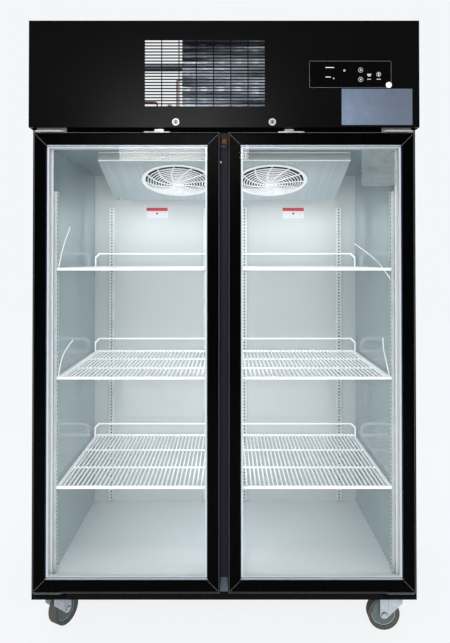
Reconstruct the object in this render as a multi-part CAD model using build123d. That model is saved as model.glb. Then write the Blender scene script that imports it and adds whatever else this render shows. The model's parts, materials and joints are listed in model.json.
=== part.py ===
from build123d import *
import math
import os

# Two-door upright display refrigerator with the cooling unit on top, in millimetres.
# X runs to the right as seen from the front, Y to the back, Z up.
# The origin is on the floor below the middle of the whole object.

# Overall sizes
overall_width = 1200.0
overall_depth = 700.0
overall_height = 1914.0

# Cabinet body
base_height = 120.0
header_height = 329.0
header_overhang = 44.0
wall_thickness = 63.0
floor_height = 190.0
roof_over_header = 3.0
roof_thickness = 62.0
sheet = 1.2
small_round_sides = 8
liner_sheet = 1.0
tray_sheet = 2.0
front_flange = 44.0
rear_flange = 20.0
rail_return = 16.0
seam_gap = 0.3
back_bead_height = 40.0
slip_gap = 0.3

# White breaker strip round the opening
breaker_width = 16.0
breaker_depth = 6.0
breaker_chamfer = 2.5

# Centre mullion and its lamp
mullion_width = 84.0
mullion_depth = 40.0
mullion_groove = 6.0
lamp_width = 18.0
lamp_depth = 10.0
lamp_end_margin = 90.0

# Doors
door_bottom = 163.0
door_header_gap = 15.0
door_side_inset = 14.0
door_centre_gap = 24.0
door_frame_depth = 32.0
door_frame_width = 38.0
door_bevel_width = 6.0
door_bevel_depth = 5.0
door_lip_thickness = 5.0
door_web_width = 26.0
door_bead_width = 8.0
door_inner_chamfer = 1.5
mitre_gap = 0.2
glass_sheet = 4.0
glass_unit_thickness = 22.0
glass_edge_gap = 0.5
spacer_start = 34.0
spacer_width = 12.0
gasket_thickness = 9.7
gasket_start = 10.0
gasket_width = 16.0
gasket_chamfer = 2.0

# Hinges
hinge_inset = 12.0
hinge_axis_depth = 18.0
hinge_pin_radius = 5.0
hinge_pin_fit = 0.05
hinge_pin_reach = 14.0
hinge_plate_length = 92.0
hinge_plate_width = 40.0
hinge_plate_sheet = 4.0
hinge_plate_gap = 3.0
hinge_leg_height = 28.0
hinge_collar_radius = 9.0

# Header and its louvre
louvre_columns = 7
louvre_rows = 22
slot_length = 50.0
slot_height = 5.6
slot_pitch_x = 53.0
slot_pitch_z = 9.4
louvre_left = -243.0
louvre_over_header = 65.0
header_bottom_lip = 12.0
header_top_lip = 20.0

# Control panel
panel_width = 256.0
panel_height = 87.0
panel_side_setback = 84.5
panel_over_header = 119.0
panel_bezel = 2.0
panel_body_depth = 25.0
panel_lap = 5.0
panel_corner = 8.0

# Cam locks and their strikes
lock_x = 148.0
lock_height_over_header = 16.0
lock_head_radius = 11.0
lock_head_sides = 20
lock_head_proud = 3.0
lock_barrel_radius = 8.0
lock_barrel_length = 18.0
lock_plug_radius = 5.0
lock_plug_fit = 0.05
lock_cam_reach = 55.9
lock_cam_width = 16.0
lock_cam_sheet = 2.0
lock_cam_gap = 0.3
lock_nut_height = 3.0
lock_key_width = 1.2
lock_key_height = 6.4
lock_key_depth = 2.0
lock_locked_angle = -21.5
lock_turn = 90.0
strike_inner_x = 168.0
strike_length = 80.0
strike_width = 20.0
strike_sheet = 1.5
strike_tab_inner_x = 187.0
strike_tab_length = 28.0
strike_tab_height = 13.0
strike_front = 13.0

# Shelf supports
pilaster_width = 21.0
pilaster_depth = 8.0
pilaster_sheet = 1.2
pilaster_over_floor = 6.0
pilaster_under_ceiling = 131.0
pilaster_side_setback = 70.0
back_pilaster_inner_x = 79.0
front_pilaster_setback = 27.0
clip_width = 16.0
clip_height = 16.0
clip_sheet = 2.0
clip_reach = 16.0

# Wire shelves
shelf_levels = ("lower", "middle", "upper")
top_level = len(shelf_levels) - 1
lowest_shelf_height = 277.0
shelf_headroom = 373.0
shelf_side_gap = 2.0
shelf_front_setback = 12.0
shelf_rear_gap = 1.0
shelf_bar = 8.0
shelf_wire_width = 4.0
shelf_wire_height = 4.0
shelf_wire_count = 32
crossbar_count = 2
crossbar_width = 6.0
crossbar_gap = 0.1
guard_height = 54.0
guard_setback = 34.0
guard_wire = 5.0
guard_corner = 16.0

# Evaporator and its cover
cover_side_gap = 130.0
cover_front_setback = 49.0
fascia_height = 29.0
cover_slope_depth = 302.0
cover_slope_drop = 95.0
cover_tail_depth = 105.0
cover_tail_rise = 12.0
cover_sheet = 1.2
drain_radius = 7.0
drain_length = 16.0
fan_x = 161.0
fan_setback = 190.0
fan_opening_radius = 110.0
coil_side_gap = 47.0
coil_depth = 84.0
coil_clearance = 4.0
fin_count = 16
fin_gap = 12.0
fin_cut_depth = 10.0

# Fans
fan_blade_count = 5
fan_radius = 100.0
fan_hub_radius = 26.0
fan_hub_height = 18.0
fan_blade_sheet = 1.5
fan_blade_pitch = 24.0
fan_blade_root = 4.0
fan_blade_spread = 0.42
fan_blade_shoulder = 0.8
fan_blade_tip = 0.97
fan_lift = 7.0
motor_radius = 28.0
motor_sides = 16
motor_length = 28.0
motor_gap = 0.5
motor_bar_width = 20.0
motor_bar_sheet = 2.0
motor_bar_lap = 10.0

# Fan guards
guard_outer_radius = 126.0
guard_inner_radius = 112.0
guard_flange = 4.0
guard_dish = 14.0
guard_ring_count = 3
guard_ring_width = 4.0
guard_ring_sides = 12
guard_spoke_count = 3
guard_spoke_width = 5.0
guard_spoke_lap = 3.0
guard_hub_radius = 20.0

# Cooling unit on the roof
unit_left = -150.0
unit_side_gap = 40.0
unit_front_setback = 3.0
unit_rear_setback = 40.0
unit_sheet = 2.0
unit_lip = 14.0
condenser_left = -133.0
condenser_width = 350.0
condenser_height = 286.0
condenser_depth = 66.0
condenser_setback = 13.0
condenser_foot = 4.0
condenser_fin_count = 20
condenser_end_plate = 3.0
shroud_depth = 50.0
shroud_sheet = 1.5
condenser_fan_opening = 125.0
condenser_fan_radius = 118.0
compressor_gap = 80.0
compressor_y = 60.0
compressor_radius = 88.0
compressor_sides = 16
compressor_height = 185.0
compressor_dome = 35.0
compressor_seam = 3.0
compressor_foot_height = 16.0
compressor_foot_sheet = 4.0
compressor_post_radius = 9.0
pipe_radius = 4.0
pipe_clearance = 2.0
pipe_reach = 60.0
pipe_drop = 60.0
drier_radius = 10.0
drier_length = 90.0
drier_over_unit = 130.0
drier_side_gap = 85.0
suction_side_gap = 60.0
brace_y = -50.0
brace_under_top = 62.0
brace_height = 25.0
brace_depth = 20.0
brace_sheet = 1.5
gland_x = 300.0
gland_radius = 9.0
gland_wall = 3.0
gland_length = 22.0
gland_bracket_half = 16.0
gland_margin = 5.0

# Castors
castor_side_setback = 63.0
castor_front_setback = 60.0
castor_rear_setback = 70.0
castor_height = 128.0
castor_plate_length = 95.0
castor_plate_width = 70.0
castor_plate_sheet = 3.0
castor_race_radius = 25.0
castor_race_sides = 12
castor_race_height = 9.0
castor_running_gap = 0.3
kingpin_radius = 6.0
kingpin_fit = 0.05
kingpin_head_radius = 10.0
kingpin_head_height = 3.5
fork_sheet = 3.0
fork_tail = 30.0
fork_nose = 13.0
fork_nose_facets = 3
fork_shoulder_height = 86.0
wheel_radius = 50.0
wheel_width = 32.0
wheel_trail = 28.0
wheel_side_gap = 2.5
tyre_depth = 11.0
web_recess = 6.4
web_sides = 12
hub_wall = 6.0
hub_sides = 8
hub_proud = 1.5
axle_radius = 5.0
axle_fit = 0.05
axle_head_radius = 7.5
axle_head_height = 4.0
# Which way each wheel trails at rest, in degrees from +X towards +Y
castor_headings = {"front_left": 60.0, "front_right": 180.0, "rear_left": -20.0, "rear_right": 280.0}

# Planes that the pieces line up with
front_y = -overall_depth / 2
back_y = overall_depth / 2
header_front_y = front_y + lock_head_proud
face_y = header_front_y + header_overhang
half_width = overall_width / 2
half_interior = half_width - wall_thickness
interior_back_y = back_y - wall_thickness
header_bottom = overall_height - header_height
roof_height = header_bottom + roof_over_header
ceiling_height = roof_height - roof_thickness
interior_height = ceiling_height - floor_height
door_top = header_bottom - door_header_gap
door_height = door_top - door_bottom
door_front_y = face_y - gasket_thickness - slip_gap - door_frame_depth
liner_front_y = face_y + breaker_depth
hinge_x = half_width - door_side_inset - hinge_inset
hinge_y = door_front_y + hinge_axis_depth
lock_z = header_bottom + lock_height_over_header
panel_centre_x = half_width - panel_side_setback - panel_width / 2
panel_centre_z = header_bottom + panel_over_header + panel_height / 2
hinge_plate_top = door_top + hinge_plate_gap + hinge_plate_sheet
pilaster_z = (floor_height + pilaster_over_floor, ceiling_height - pilaster_under_ceiling)
back_pilaster_outer_x = half_interior - pilaster_side_setback
cover_width = 2 * (half_interior - cover_side_gap)
coil_width = cover_width - 2 * coil_side_gap
unit_right = half_width - unit_side_gap
compressor_x = condenser_left + condenser_width + compressor_gap + compressor_radius
cover_front_y = face_y + cover_front_setback
cover_slope = math.degrees(math.atan2(cover_slope_drop, cover_slope_depth))
shelf_outer_x = half_interior - pilaster_depth - shelf_side_gap
shelf_inner_x = mullion_width / 2 + pilaster_depth + shelf_side_gap
shelf_front_y = face_y + shelf_front_setback
shelf_rear_y = interior_back_y - pilaster_depth - shelf_rear_gap
shelf_spacing = (interior_height - lowest_shelf_height - shelf_headroom) / top_level
shelf_tops = [floor_height + lowest_shelf_height + level * shelf_spacing for level in range(top_level + 1)]


def block(x, y, z):
    """A box given by its lowest and highest X, Y and Z."""
    centre = ((x[0] + x[1]) / 2, (y[0] + y[1]) / 2, (z[0] + z[1]) / 2)
    return Pos(*centre) * Box(x[1] - x[0], y[1] - y[0], z[1] - z[0])


def outline(points):
    """A flat face inside straight lines through the points."""
    return make_face(Polyline(*points, close=True))


def along_x(section, x):
    """A solid with the section, drawn in Y and Z, between two places across."""
    return Pos(x[0], 0, 0) * extrude(Plane.YZ * section, x[1] - x[0])


def mirrored(solid, side):
    """The solid as built for the right, or its mirror image for the left."""
    return solid if side > 0 else mirror(solid, about=Plane.YZ)


def side_panel(side):
    """Outer side sheet with its front and rear edges folded in."""
    outer = half_width
    inner = half_width - sheet
    section = outline([
        (outer - front_flange, face_y),
        (outer, face_y),
        (outer, back_y),
        (outer - rear_flange, back_y),
        (outer - rear_flange, back_y - sheet),
        (inner, back_y - sheet),
        (inner, face_y + sheet),
        (outer - front_flange, face_y + sheet),
    ])
    panel = extrude(Pos(0, 0, base_height) * section, overall_height - base_height)
    return mirrored(panel, side)


def back_panel():
    """Rear sheet of the insulated body, between the side panels' rear folds."""
    half = half_width - rear_flange - seam_gap
    panel = block((-half, half), (back_y - sheet, back_y), (castor_height, roof_height))
    for share in (0.3, 0.7):
        middle = castor_height + share * (roof_height - castor_height)
        bead_z = (middle - back_bead_height / 2, middle + back_bead_height / 2)
        panel -= block((-half / 2, half / 2), (back_y - sheet / 2, back_y + 1), bead_z)
    return panel


def base_tray():
    """Steel tray under the insulation, which the castor plates bolt to."""
    half = half_width - sheet - seam_gap
    z = (castor_height, castor_height + tray_sheet)
    return block((-half, half), (face_y + sheet, back_y - sheet), z)


def base_rail():
    """Black folded rail below the doors."""
    half = half_width - front_flange - seam_gap
    top = floor_height - breaker_width
    section = outline([
        (face_y, base_height),
        (face_y + rail_return, base_height),
        (face_y + rail_return, base_height + sheet),
        (face_y + sheet, base_height + sheet),
        (face_y + sheet, top),
        (face_y, top),
    ])
    return along_x(section, (-half, half))


def top_deck():
    """Roof sheet of the insulated body with the rail above the opening folded from it."""
    half = half_width - sheet - seam_gap
    deck_front = face_y + sheet + seam_gap
    deck = block((-half, half), (deck_front, back_y - sheet), (roof_height - sheet, roof_height))
    rail_half = half_width - front_flange - seam_gap
    rail_bottom = ceiling_height + breaker_width
    deck += block((-rail_half, rail_half), (face_y, deck_front), (rail_bottom, roof_height))
    return deck - pipe_passage()


def insulation():
    """Foam core between the outer sheets and the liner."""
    half = half_width - sheet
    foam_z = (castor_height + tray_sheet, roof_height - sheet)
    foam = block((-half, half), (face_y + sheet, back_y - sheet), foam_z)
    half_hollow = half_interior + liner_sheet
    hollow_z = (floor_height - liner_sheet, ceiling_height + liner_sheet)
    foam -= block((-half_hollow, half_hollow), (face_y, interior_back_y + liner_sheet), hollow_z)
    half_strip = half_interior + breaker_width
    strip_z = (floor_height - breaker_width, ceiling_height + breaker_width)
    foam -= block((-half_strip, half_strip), (face_y, liner_front_y), strip_z)
    rail_half = half_width - front_flange - seam_gap
    rail_y = (face_y, face_y + sheet + seam_gap)
    foam -= block((-rail_half, rail_half), rail_y, (ceiling_height, roof_height))
    return foam - pipe_passage()


def breaker_strip():
    """White strip round the opening, which stops the cold bridge."""
    half = half_interior + breaker_width
    z = (floor_height - breaker_width, ceiling_height + breaker_width)
    strip = block((-half, half), (face_y, liner_front_y), z)
    opening_z = (floor_height, ceiling_height)
    strip -= block((-half_interior, half_interior), (face_y - 1, liner_front_y + 1), opening_z)
    inner_edges = [
        edge for edge in strip.edges().group_by(Axis.Y)[0]
        if edge.length < interior_height + 1 and abs(edge.center().X) < half - 1
        and floor_height - 1 < edge.center().Z < ceiling_height + 1
    ]
    return chamfer(inner_edges, breaker_chamfer)


def liner_sides():
    """Left and right metal walls, between which the floor and the ceiling lie."""
    z = (floor_height - liner_sheet, ceiling_height + liner_sheet)
    y = (liner_front_y, interior_back_y)
    right = block((half_interior, half_interior + liner_sheet), y, z)
    return [right, mirror(right, about=Plane.YZ)]


def liner_back():
    """Metal back wall of the interior."""
    half = half_interior + liner_sheet
    z = (floor_height - liner_sheet, ceiling_height + liner_sheet)
    return block((-half, half), (interior_back_y, interior_back_y + liner_sheet), z)


def liner_floor_and_ceiling():
    """Metal floor, notched round the mullion's foot, and ceiling of the interior."""
    x = (-half_interior, half_interior)
    y = (liner_front_y, interior_back_y)
    floor = block(x, y, (floor_height - liner_sheet, floor_height))
    notch_half = mullion_width / 2 + slip_gap
    notch_y = (face_y, face_y + mullion_depth + slip_gap)
    floor -= block((-notch_half, notch_half), notch_y, (floor_height - 1, floor_height + 1))
    ceiling = block(x, y, (ceiling_height, ceiling_height + liner_sheet))
    return [floor, ceiling - pipe_passage()]


def pipe_passage():
    """Square way through the roof for the refrigerant pipe, as a cutter."""
    half = pipe_radius + pipe_clearance
    x = (suction_x() - half, suction_x() + half)
    y = (suction_y() - half, suction_y() + half)
    return block(x, y, (ceiling_height - 1, roof_height + 1))


def mullion():
    """Centre post that both doors close against, grooved along its sides."""
    half = mullion_width / 2
    rear = face_y + mullion_depth
    section = outline([
        (-half, face_y),
        (half, face_y),
        (half, face_y + mullion_groove),
        (half - mullion_groove, face_y + mullion_groove),
        (half - mullion_groove, face_y + 2 * mullion_groove),
        (half, face_y + 2 * mullion_groove),
        (half, rear - mullion_groove),
        (half - mullion_groove, rear),
        (-half + mullion_groove, rear),
        (-half, rear - mullion_groove),
        (-half, face_y + 2 * mullion_groove),
        (-half + mullion_groove, face_y + 2 * mullion_groove),
        (-half + mullion_groove, face_y + mullion_groove),
        (-half, face_y + mullion_groove),
    ])
    return extrude(Pos(0, 0, floor_height) * section, interior_height)


def mullion_lamp():
    """Interior lamp along the back of the mullion."""
    rear = face_y + mullion_depth
    section = outline([
        (-lamp_width / 2, rear),
        (lamp_width / 2, rear),
        (lamp_width / 4, rear + lamp_depth),
        (-lamp_width / 4, rear + lamp_depth),
    ])
    length = interior_height - 2 * lamp_end_margin - fascia_height
    return extrude(Pos(0, 0, floor_height + lamp_end_margin) * section, length)


def front_pilaster_y():
    """Depth of the front shelf supports' middle line."""
    return max(face_y + front_pilaster_setback, face_y + 2 * mullion_groove + pilaster_width / 2)


def pilaster():
    """A channel standing on a wall at Y = 0 and opening towards it."""
    half = pilaster_width / 2
    wall = pilaster_sheet
    section = outline([
        (-half, 0),
        (-half, -pilaster_depth),
        (half, -pilaster_depth),
        (half, 0),
        (half - wall, 0),
        (half - wall, wall - pilaster_depth),
        (wall - half, wall - pilaster_depth),
        (wall - half, 0),
    ])
    return extrude(Pos(0, 0, pilaster_z[0]) * section, pilaster_z[1] - pilaster_z[0])


def pilaster_places():
    """Where each channel stands: its place on the wall and its turn about Z."""
    places = []
    for side in (-1, 1):
        for x in (back_pilaster_outer_x, back_pilaster_inner_x):
            places.append((side * x, interior_back_y, 0.0))
        places.append((side * half_interior, front_pilaster_y(), side * -90.0))
        places.append((side * mullion_width / 2, front_pilaster_y(), side * 90.0))
    return places


def shelf_pilasters():
    """Eight slotted channels: four at the back, two on the sides, two on the mullion."""
    channel = pilaster()
    return [Pos(x, y, 0) * Rot(0, 0, turn) * channel for x, y, turn in pilaster_places()]


def shelf_clip():
    """Folded clip on a channel's face, with the tongue that a shelf rests on."""
    top = 0.0
    front = -pilaster_depth
    section = outline([
        (front, top - clip_height),
        (front, top),
        (front - clip_reach, top),
        (front - clip_reach, top - clip_sheet),
        (front - clip_sheet, top - clip_sheet),
        (front - clip_sheet, top - clip_height),
    ])
    return along_x(section, (-clip_width / 2, clip_width / 2))


def shelf_clips():
    """One clip below each corner of each shelf."""
    clip = shelf_clip()
    clips = []
    for top in shelf_tops:
        for x, y, turn in pilaster_places():
            clips.append(Pos(x, y, top - shelf_bar) * Rot(0, 0, turn) * clip)
    return clips


def shelf(side, top):
    """White wire shelf: frame bars, wires front to back, bars below them and a rear guard."""
    x = (shelf_inner_x, shelf_outer_x)
    y = (shelf_front_y, shelf_rear_y)
    deck = block(x, y, (top - shelf_wire_height, top))
    clear_width = x[1] - x[0] - 2 * shelf_bar
    wire_gap = (clear_width - shelf_wire_count * shelf_wire_width) / (shelf_wire_count + 1)
    gap_y = (y[0] + shelf_bar, y[1] - shelf_bar)
    gaps = Part()
    for number in range(shelf_wire_count + 1):
        low = x[0] + shelf_bar + number * (wire_gap + shelf_wire_width)
        gaps += block((low, low + wire_gap), gap_y, (top - 2 * shelf_bar, top + 1))
    deck -= gaps
    frame_z = (top - shelf_bar, top - shelf_wire_height)
    frame = block(x, y, frame_z)
    frame -= block((x[0] + shelf_bar, x[1] - shelf_bar), gap_y, (top - 2 * shelf_bar, top))
    deck += frame
    bar_z = (top - shelf_bar, top - shelf_wire_height - crossbar_gap)
    for number in range(crossbar_count):
        middle = y[0] + (number + 1) * (y[1] - y[0]) / (crossbar_count + 1)
        bar_y = (middle - crossbar_width / 2, middle + crossbar_width / 2)
        deck += block((x[0] + shelf_bar / 2, x[1] - shelf_bar / 2), bar_y, bar_z)
    deck += rear_guard(x, y[1] - guard_setback, top)
    return mirrored(deck, side)


def rear_guard(x, y, top):
    """Bent wire that keeps goods off the back wall, its top corners cut off at a slant."""
    low = top - shelf_wire_height
    high = top + guard_height
    hoop = guard_outline(x[0], x[1], low, high)
    hoop -= guard_outline(x[0] + guard_wire, x[1] - guard_wire, low, high - guard_wire)
    return Pos(0, y, 0) * extrude(Plane.XZ * hoop, guard_wire)


def guard_outline(left, right, low, high):
    """Front view of the guard's outside or inside."""
    corner = guard_corner
    return outline([
        (left, low),
        (right, low),
        (right, high - corner),
        (right - corner, high),
        (left + corner, high),
        (left, high - corner),
    ])


def cover_height(y):
    """Height of the cover's sloping underside at a depth."""
    start = ceiling_height - fascia_height
    return start - (y - cover_front_y) * cover_slope_drop / cover_slope_depth


def cover_profile(inset):
    """Side view of the evaporator cover, drawn in from its outside by the inset."""
    slope_end = cover_front_y + cover_slope_depth
    lowest = ceiling_height - fascia_height - cover_slope_drop
    tail_end = slope_end + cover_tail_depth
    return [
        (cover_front_y + inset, ceiling_height + inset),
        (cover_front_y + inset, cover_height(cover_front_y + inset) + inset),
        (slope_end, lowest + inset),
        (tail_end + inset, lowest + cover_tail_rise + inset),
        (tail_end + inset, ceiling_height + inset),
    ]


def evaporator_cover():
    """Folded metal pan below the coil, open at its back, with two fan openings and a drain spout."""
    half = cover_width / 2
    shell = along_x(outline(cover_profile(0.0)), (-half, half))
    half_inside = half - cover_sheet
    hollow = along_x(outline(cover_profile(cover_sheet)), (-half_inside, half_inside))
    shell -= hollow
    for side in (-1, 1):
        shell -= fan_plane(side) * Cylinder(fan_opening_radius, 12 * cover_sheet)
    spout_y = cover_front_y + cover_slope_depth - 3 * drain_radius
    spout_top = cover_height(spout_y)
    spout_x = -half + 3 * drain_radius
    spout = extrude(RegularPolygon(drain_radius, small_round_sides), drain_length / 2, both=True)
    spout = Pos(spout_x, spout_y, spout_top) * spout
    shell += spout - hollow
    bore = RegularPolygon(drain_radius - 2 * cover_sheet, small_round_sides)
    return shell - Pos(spout_x, spout_y, spout_top) * extrude(bore, drain_length, both=True)


def fan_plane(side):
    """Plane on the cover's underside at a fan's middle, its Z pointing up into the cover."""
    y = face_y + fan_setback
    angle = math.radians(cover_slope)
    return Plane(
        origin=(side * fan_x, y, cover_height(y)),
        x_dir=(1, 0, 0),
        z_dir=(0, math.sin(angle), math.cos(angle)),
    )


def evaporator_coil():
    """Finned coil above the cover's tail, with its fins cut as a row of grooves."""
    slope_end = cover_front_y + cover_slope_depth
    y = (slope_end + coil_clearance, slope_end + coil_clearance + coil_depth)
    lowest = ceiling_height - fascia_height - cover_slope_drop + cover_tail_rise
    z = (lowest + 2 * coil_clearance, ceiling_height - coil_clearance)
    coil = block((-coil_width / 2, coil_width / 2), y, z)
    pitch = coil_width / (fin_count + 1)
    for number in range(fin_count):
        middle = -coil_width / 2 + (number + 1) * pitch
        x = (middle - fin_gap / 2, middle + fin_gap / 2)
        coil -= block(x, (y[1] - fin_cut_depth, y[1] + 1), (z[0] - 1, z[1] + 1))
    hanger = block((-coil_width / 2, -coil_width / 2 + fin_gap), y, (z[1], ceiling_height))
    return coil + hanger + mirror(hanger, about=Plane.YZ)


def fan_blade(radius):
    """Fan wheel about Z: the motor's outer rotor as its hub, with pitched blades."""
    wheel = extrude(RegularPolygon(fan_hub_radius, motor_sides), fan_hub_height / 2, both=True)
    root = fan_hub_radius - fan_blade_root
    root_half = root / 3
    outer_half = radius * fan_blade_spread
    tip_half = outer_half / 3
    blade_angle = 360.0 / fan_blade_count
    for number in range(fan_blade_count):
        face = outline([
            (root, -root_half),
            (radius * fan_blade_shoulder, -outer_half),
            (radius * fan_blade_tip, -tip_half),
            (radius * fan_blade_tip, tip_half),
            (radius * fan_blade_shoulder, outer_half),
            (root, root_half),
        ])
        blade = extrude(face, fan_blade_sheet / 2, both=True)
        wheel += Rot(0, 0, number * blade_angle) * Rot(fan_blade_pitch, 0, 0) * blade
    return wheel


def fan_middle():
    """Height of an evaporator fan wheel's middle over the cover's sheet."""
    return fan_lift + fan_hub_height / 2


def evaporator_fan(side):
    """Fan wheel in the cover's opening."""
    return fan_plane(side) * Pos(0, 0, fan_middle()) * fan_blade(fan_radius)


def motor():
    """Fixed part of a fan motor about Z, from Z = 0 upwards."""
    return extrude(RegularPolygon(motor_radius, motor_sides), motor_length)


def motor_bar(span, foot_height):
    """Flat bar over a fan opening with feet folded down to the sheet that carries it."""
    half = span / 2
    bar = block((-half, half), (-motor_bar_width / 2, motor_bar_width / 2), (0, motor_bar_sheet))
    foot = block(
        (half - motor_bar_sheet, half),
        (-motor_bar_width / 2, motor_bar_width / 2),
        (-foot_height, 0),
    )
    return bar + foot + mirror(foot, about=Plane.YZ)


def fan_motors():
    """Three fan motors: two in the evaporator cover and one behind the condenser."""
    motors = []
    motor_base = fan_lift + fan_hub_height + motor_gap
    for side in (-1, 1):
        bar_base = motor_base + motor_length - motor_bar_sheet
        span = 2 * (fan_opening_radius + motor_bar_lap)
        bar = Pos(0, 0, bar_base) * motor_bar(span, bar_base - cover_sheet)
        motors.append(fan_plane(side) * (Pos(0, 0, motor_base) * motor() + bar))
    rear = condenser_fan_plane() * Pos(0, 0, fan_hub_height / 2 + motor_gap)
    bar_base = motor_length - motor_bar_sheet
    reach = shroud_depth / 2 + fan_hub_height / 2 + motor_gap
    foot = bar_base + reach - shroud_depth
    bar = Pos(0, 0, bar_base) * motor_bar(2 * (condenser_fan_opening + motor_bar_lap), foot)
    motors.append(rear * (motor() + bar))
    return motors


def guard_ring(radius, height):
    """One ring of a fan guard, with flat sides."""
    ring = RegularPolygon(radius, guard_ring_sides)
    ring -= RegularPolygon(radius - guard_ring_width, guard_ring_sides)
    return Pos(0, 0, height) * extrude(ring, guard_ring_width * 0.75)


def fan_guard():
    """White fan guard about Z: a flat flange at Z = 0 and rings on spokes that rise to its middle."""
    flange = RegularPolygon(guard_outer_radius, 2 * guard_ring_sides)
    flange -= RegularPolygon(guard_inner_radius, 2 * guard_ring_sides)
    guard = extrude(flange, guard_flange)
    hub = extrude(RegularPolygon(guard_hub_radius, guard_ring_sides), guard_flange)
    guard += Pos(0, 0, guard_dish - guard_flange / 2) * hub
    step = (guard_inner_radius - guard_hub_radius) / (guard_ring_count + 1)
    spoke_start = guard_hub_radius - guard_spoke_lap
    spoke_end = guard_inner_radius + guard_spoke_lap
    spoke = make_face(Polyline(
        (spoke_start, guard_dish - guard_flange / 2),
        (spoke_end, 0.0),
        (spoke_end, guard_flange),
        (spoke_start, guard_dish + guard_flange / 2),
        close=True,
    ))
    spoke = extrude(Plane.XZ * spoke, guard_spoke_width / 2, both=True)
    for number in range(guard_spoke_count):
        guard += Rot(0, 0, number * 360.0 / guard_spoke_count) * spoke
    for number in range(guard_ring_count):
        radius = guard_hub_radius + (number + 1) * step
        share = (guard_inner_radius - radius) / (guard_inner_radius - guard_hub_radius)
        guard += guard_ring(radius + guard_ring_width / 2, share * (guard_dish - guard_flange / 2))
    return guard


def fan_guards():
    """Both fan guards on the cover's underside, turned to face down."""
    guard = fan_guard()
    return [fan_plane(side) * Rot(180, 0, 0) * guard for side in (-1, 1)]


def louvre_slots():
    """All slots of the louvre, drawn in X and Z."""
    pattern = GridLocations(slot_pitch_x, slot_pitch_z, louvre_columns, louvre_rows)
    middle_x = louvre_left + ((louvre_columns - 1) * slot_pitch_x + slot_length) / 2
    middle_z = header_bottom + louvre_over_header + ((louvre_rows - 1) * slot_pitch_z + slot_height) / 2
    slot = Rectangle(slot_length, slot_height)
    return [Pos(middle_x, middle_z) * place * slot for place in pattern]


def header_panel():
    """Header front: sheet folded back on all sides, with the louvre and holes for panel and locks."""
    z = (header_bottom, overall_height)
    behind = header_front_y + sheet
    front = Pos(0, (z[0] + z[1]) / 2) * Rectangle(overall_width, header_height)
    window = Rectangle(panel_width - 2 * panel_lap, panel_height - 2 * panel_lap)
    lock_hole = RegularPolygon(lock_barrel_radius + slip_gap, small_round_sides)
    holes = [Pos(panel_centre_x, panel_centre_z) * window]
    holes += [Pos(side * lock_x, lock_z) * lock_hole for side in (-1, 1)]
    front -= holes + louvre_slots()
    panel = Pos(0, behind, 0) * extrude(Plane.XZ * front, sheet)
    x = (-half_width, half_width)
    panel += block(x, (behind, header_front_y + header_bottom_lip), (z[0], z[0] + sheet))
    panel += block(x, (behind, header_front_y + header_top_lip), (z[1] - sheet, z[1]))
    for side in (-1, 1):
        x = sorted((side * half_width, side * (half_width - sheet)))
        panel += block(x, (behind, face_y), z)
    return panel


def control_panel():
    """Glossy touch panel: a bezel on the header's face and its body through the opening."""
    bezel = Plane.XZ * RectangleRounded(panel_width, panel_height, panel_corner)
    bezel = extrude(Pos(panel_centre_x, header_front_y, panel_centre_z) * bezel, panel_bezel)
    body_width = panel_width - 2 * panel_lap - 2 * slip_gap
    body_height = panel_height - 2 * panel_lap - 2 * slip_gap
    body = block(
        (panel_centre_x - body_width / 2, panel_centre_x + body_width / 2),
        (header_front_y, header_front_y + panel_body_depth),
        (panel_centre_z - body_height / 2, panel_centre_z + body_height / 2),
    )
    return bezel + body


def along_y(radius, y):
    """A cylinder along Y between two depths, about X = Z = 0."""
    cylinder = Rot(90, 0, 0) * Cylinder(radius, y[1] - y[0])
    return Pos(0, (y[0] + y[1]) / 2, 0) * cylinder


def lock_barrel_rear():
    """Depth at which a lock's fixed barrel ends."""
    return header_front_y + lock_barrel_length


def lock_barrels():
    """Fixed barrels of both locks, each with its head on the header's face."""
    head = extrude(Plane.XZ * RegularPolygon(lock_head_radius, lock_head_sides), lock_head_proud)
    barrel = Pos(0, header_front_y, 0) * head
    body = extrude(Plane.XZ * RegularPolygon(lock_barrel_radius, small_round_sides), -lock_barrel_length)
    barrel += Pos(0, header_front_y, 0) * body
    barrel -= along_y(lock_plug_radius + lock_plug_fit, (front_y - 1, lock_barrel_rear() + 1))
    return [Pos(side * lock_x, 0, lock_z) * barrel for side in (-1, 1)]


def lock(side):
    """Turning part of a lock: the plug with its key slot and the cam behind the barrel, unlocked."""
    cam_y = (lock_barrel_rear() + lock_cam_gap, lock_barrel_rear() + lock_cam_gap + lock_cam_sheet)
    plug = along_y(lock_plug_radius, (front_y, cam_y[1]))
    key_x = (-lock_key_width / 2, lock_key_width / 2)
    key_z = (-lock_key_height / 2, lock_key_height / 2)
    plug -= block(key_x, (front_y - 1, front_y + lock_key_depth), key_z)
    reach = lock_cam_reach
    half = lock_cam_width / 2
    cam = outline([
        (-half, -half / 2), (-half / 2, -half), (reach, -half), (reach + half, -half / 2),
        (reach + half, half / 2), (reach, half), (-half / 2, half), (-half, half / 2),
    ])
    cam = Pos(0, cam_y[1], 0) * extrude(Plane.XZ * cam, lock_cam_sheet)
    unlocked = lock_locked_angle + lock_turn
    turned = Rot(0, -unlocked, 0) * (plug + cam)
    nut = extrude(Plane.XZ * RegularPolygon(half, 6), lock_nut_height)
    nut = Pos(0, cam_y[1] + lock_nut_height, 0) * nut
    return mirrored(Pos(lock_x, 0, lock_z) * (turned + nut), side)


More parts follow.
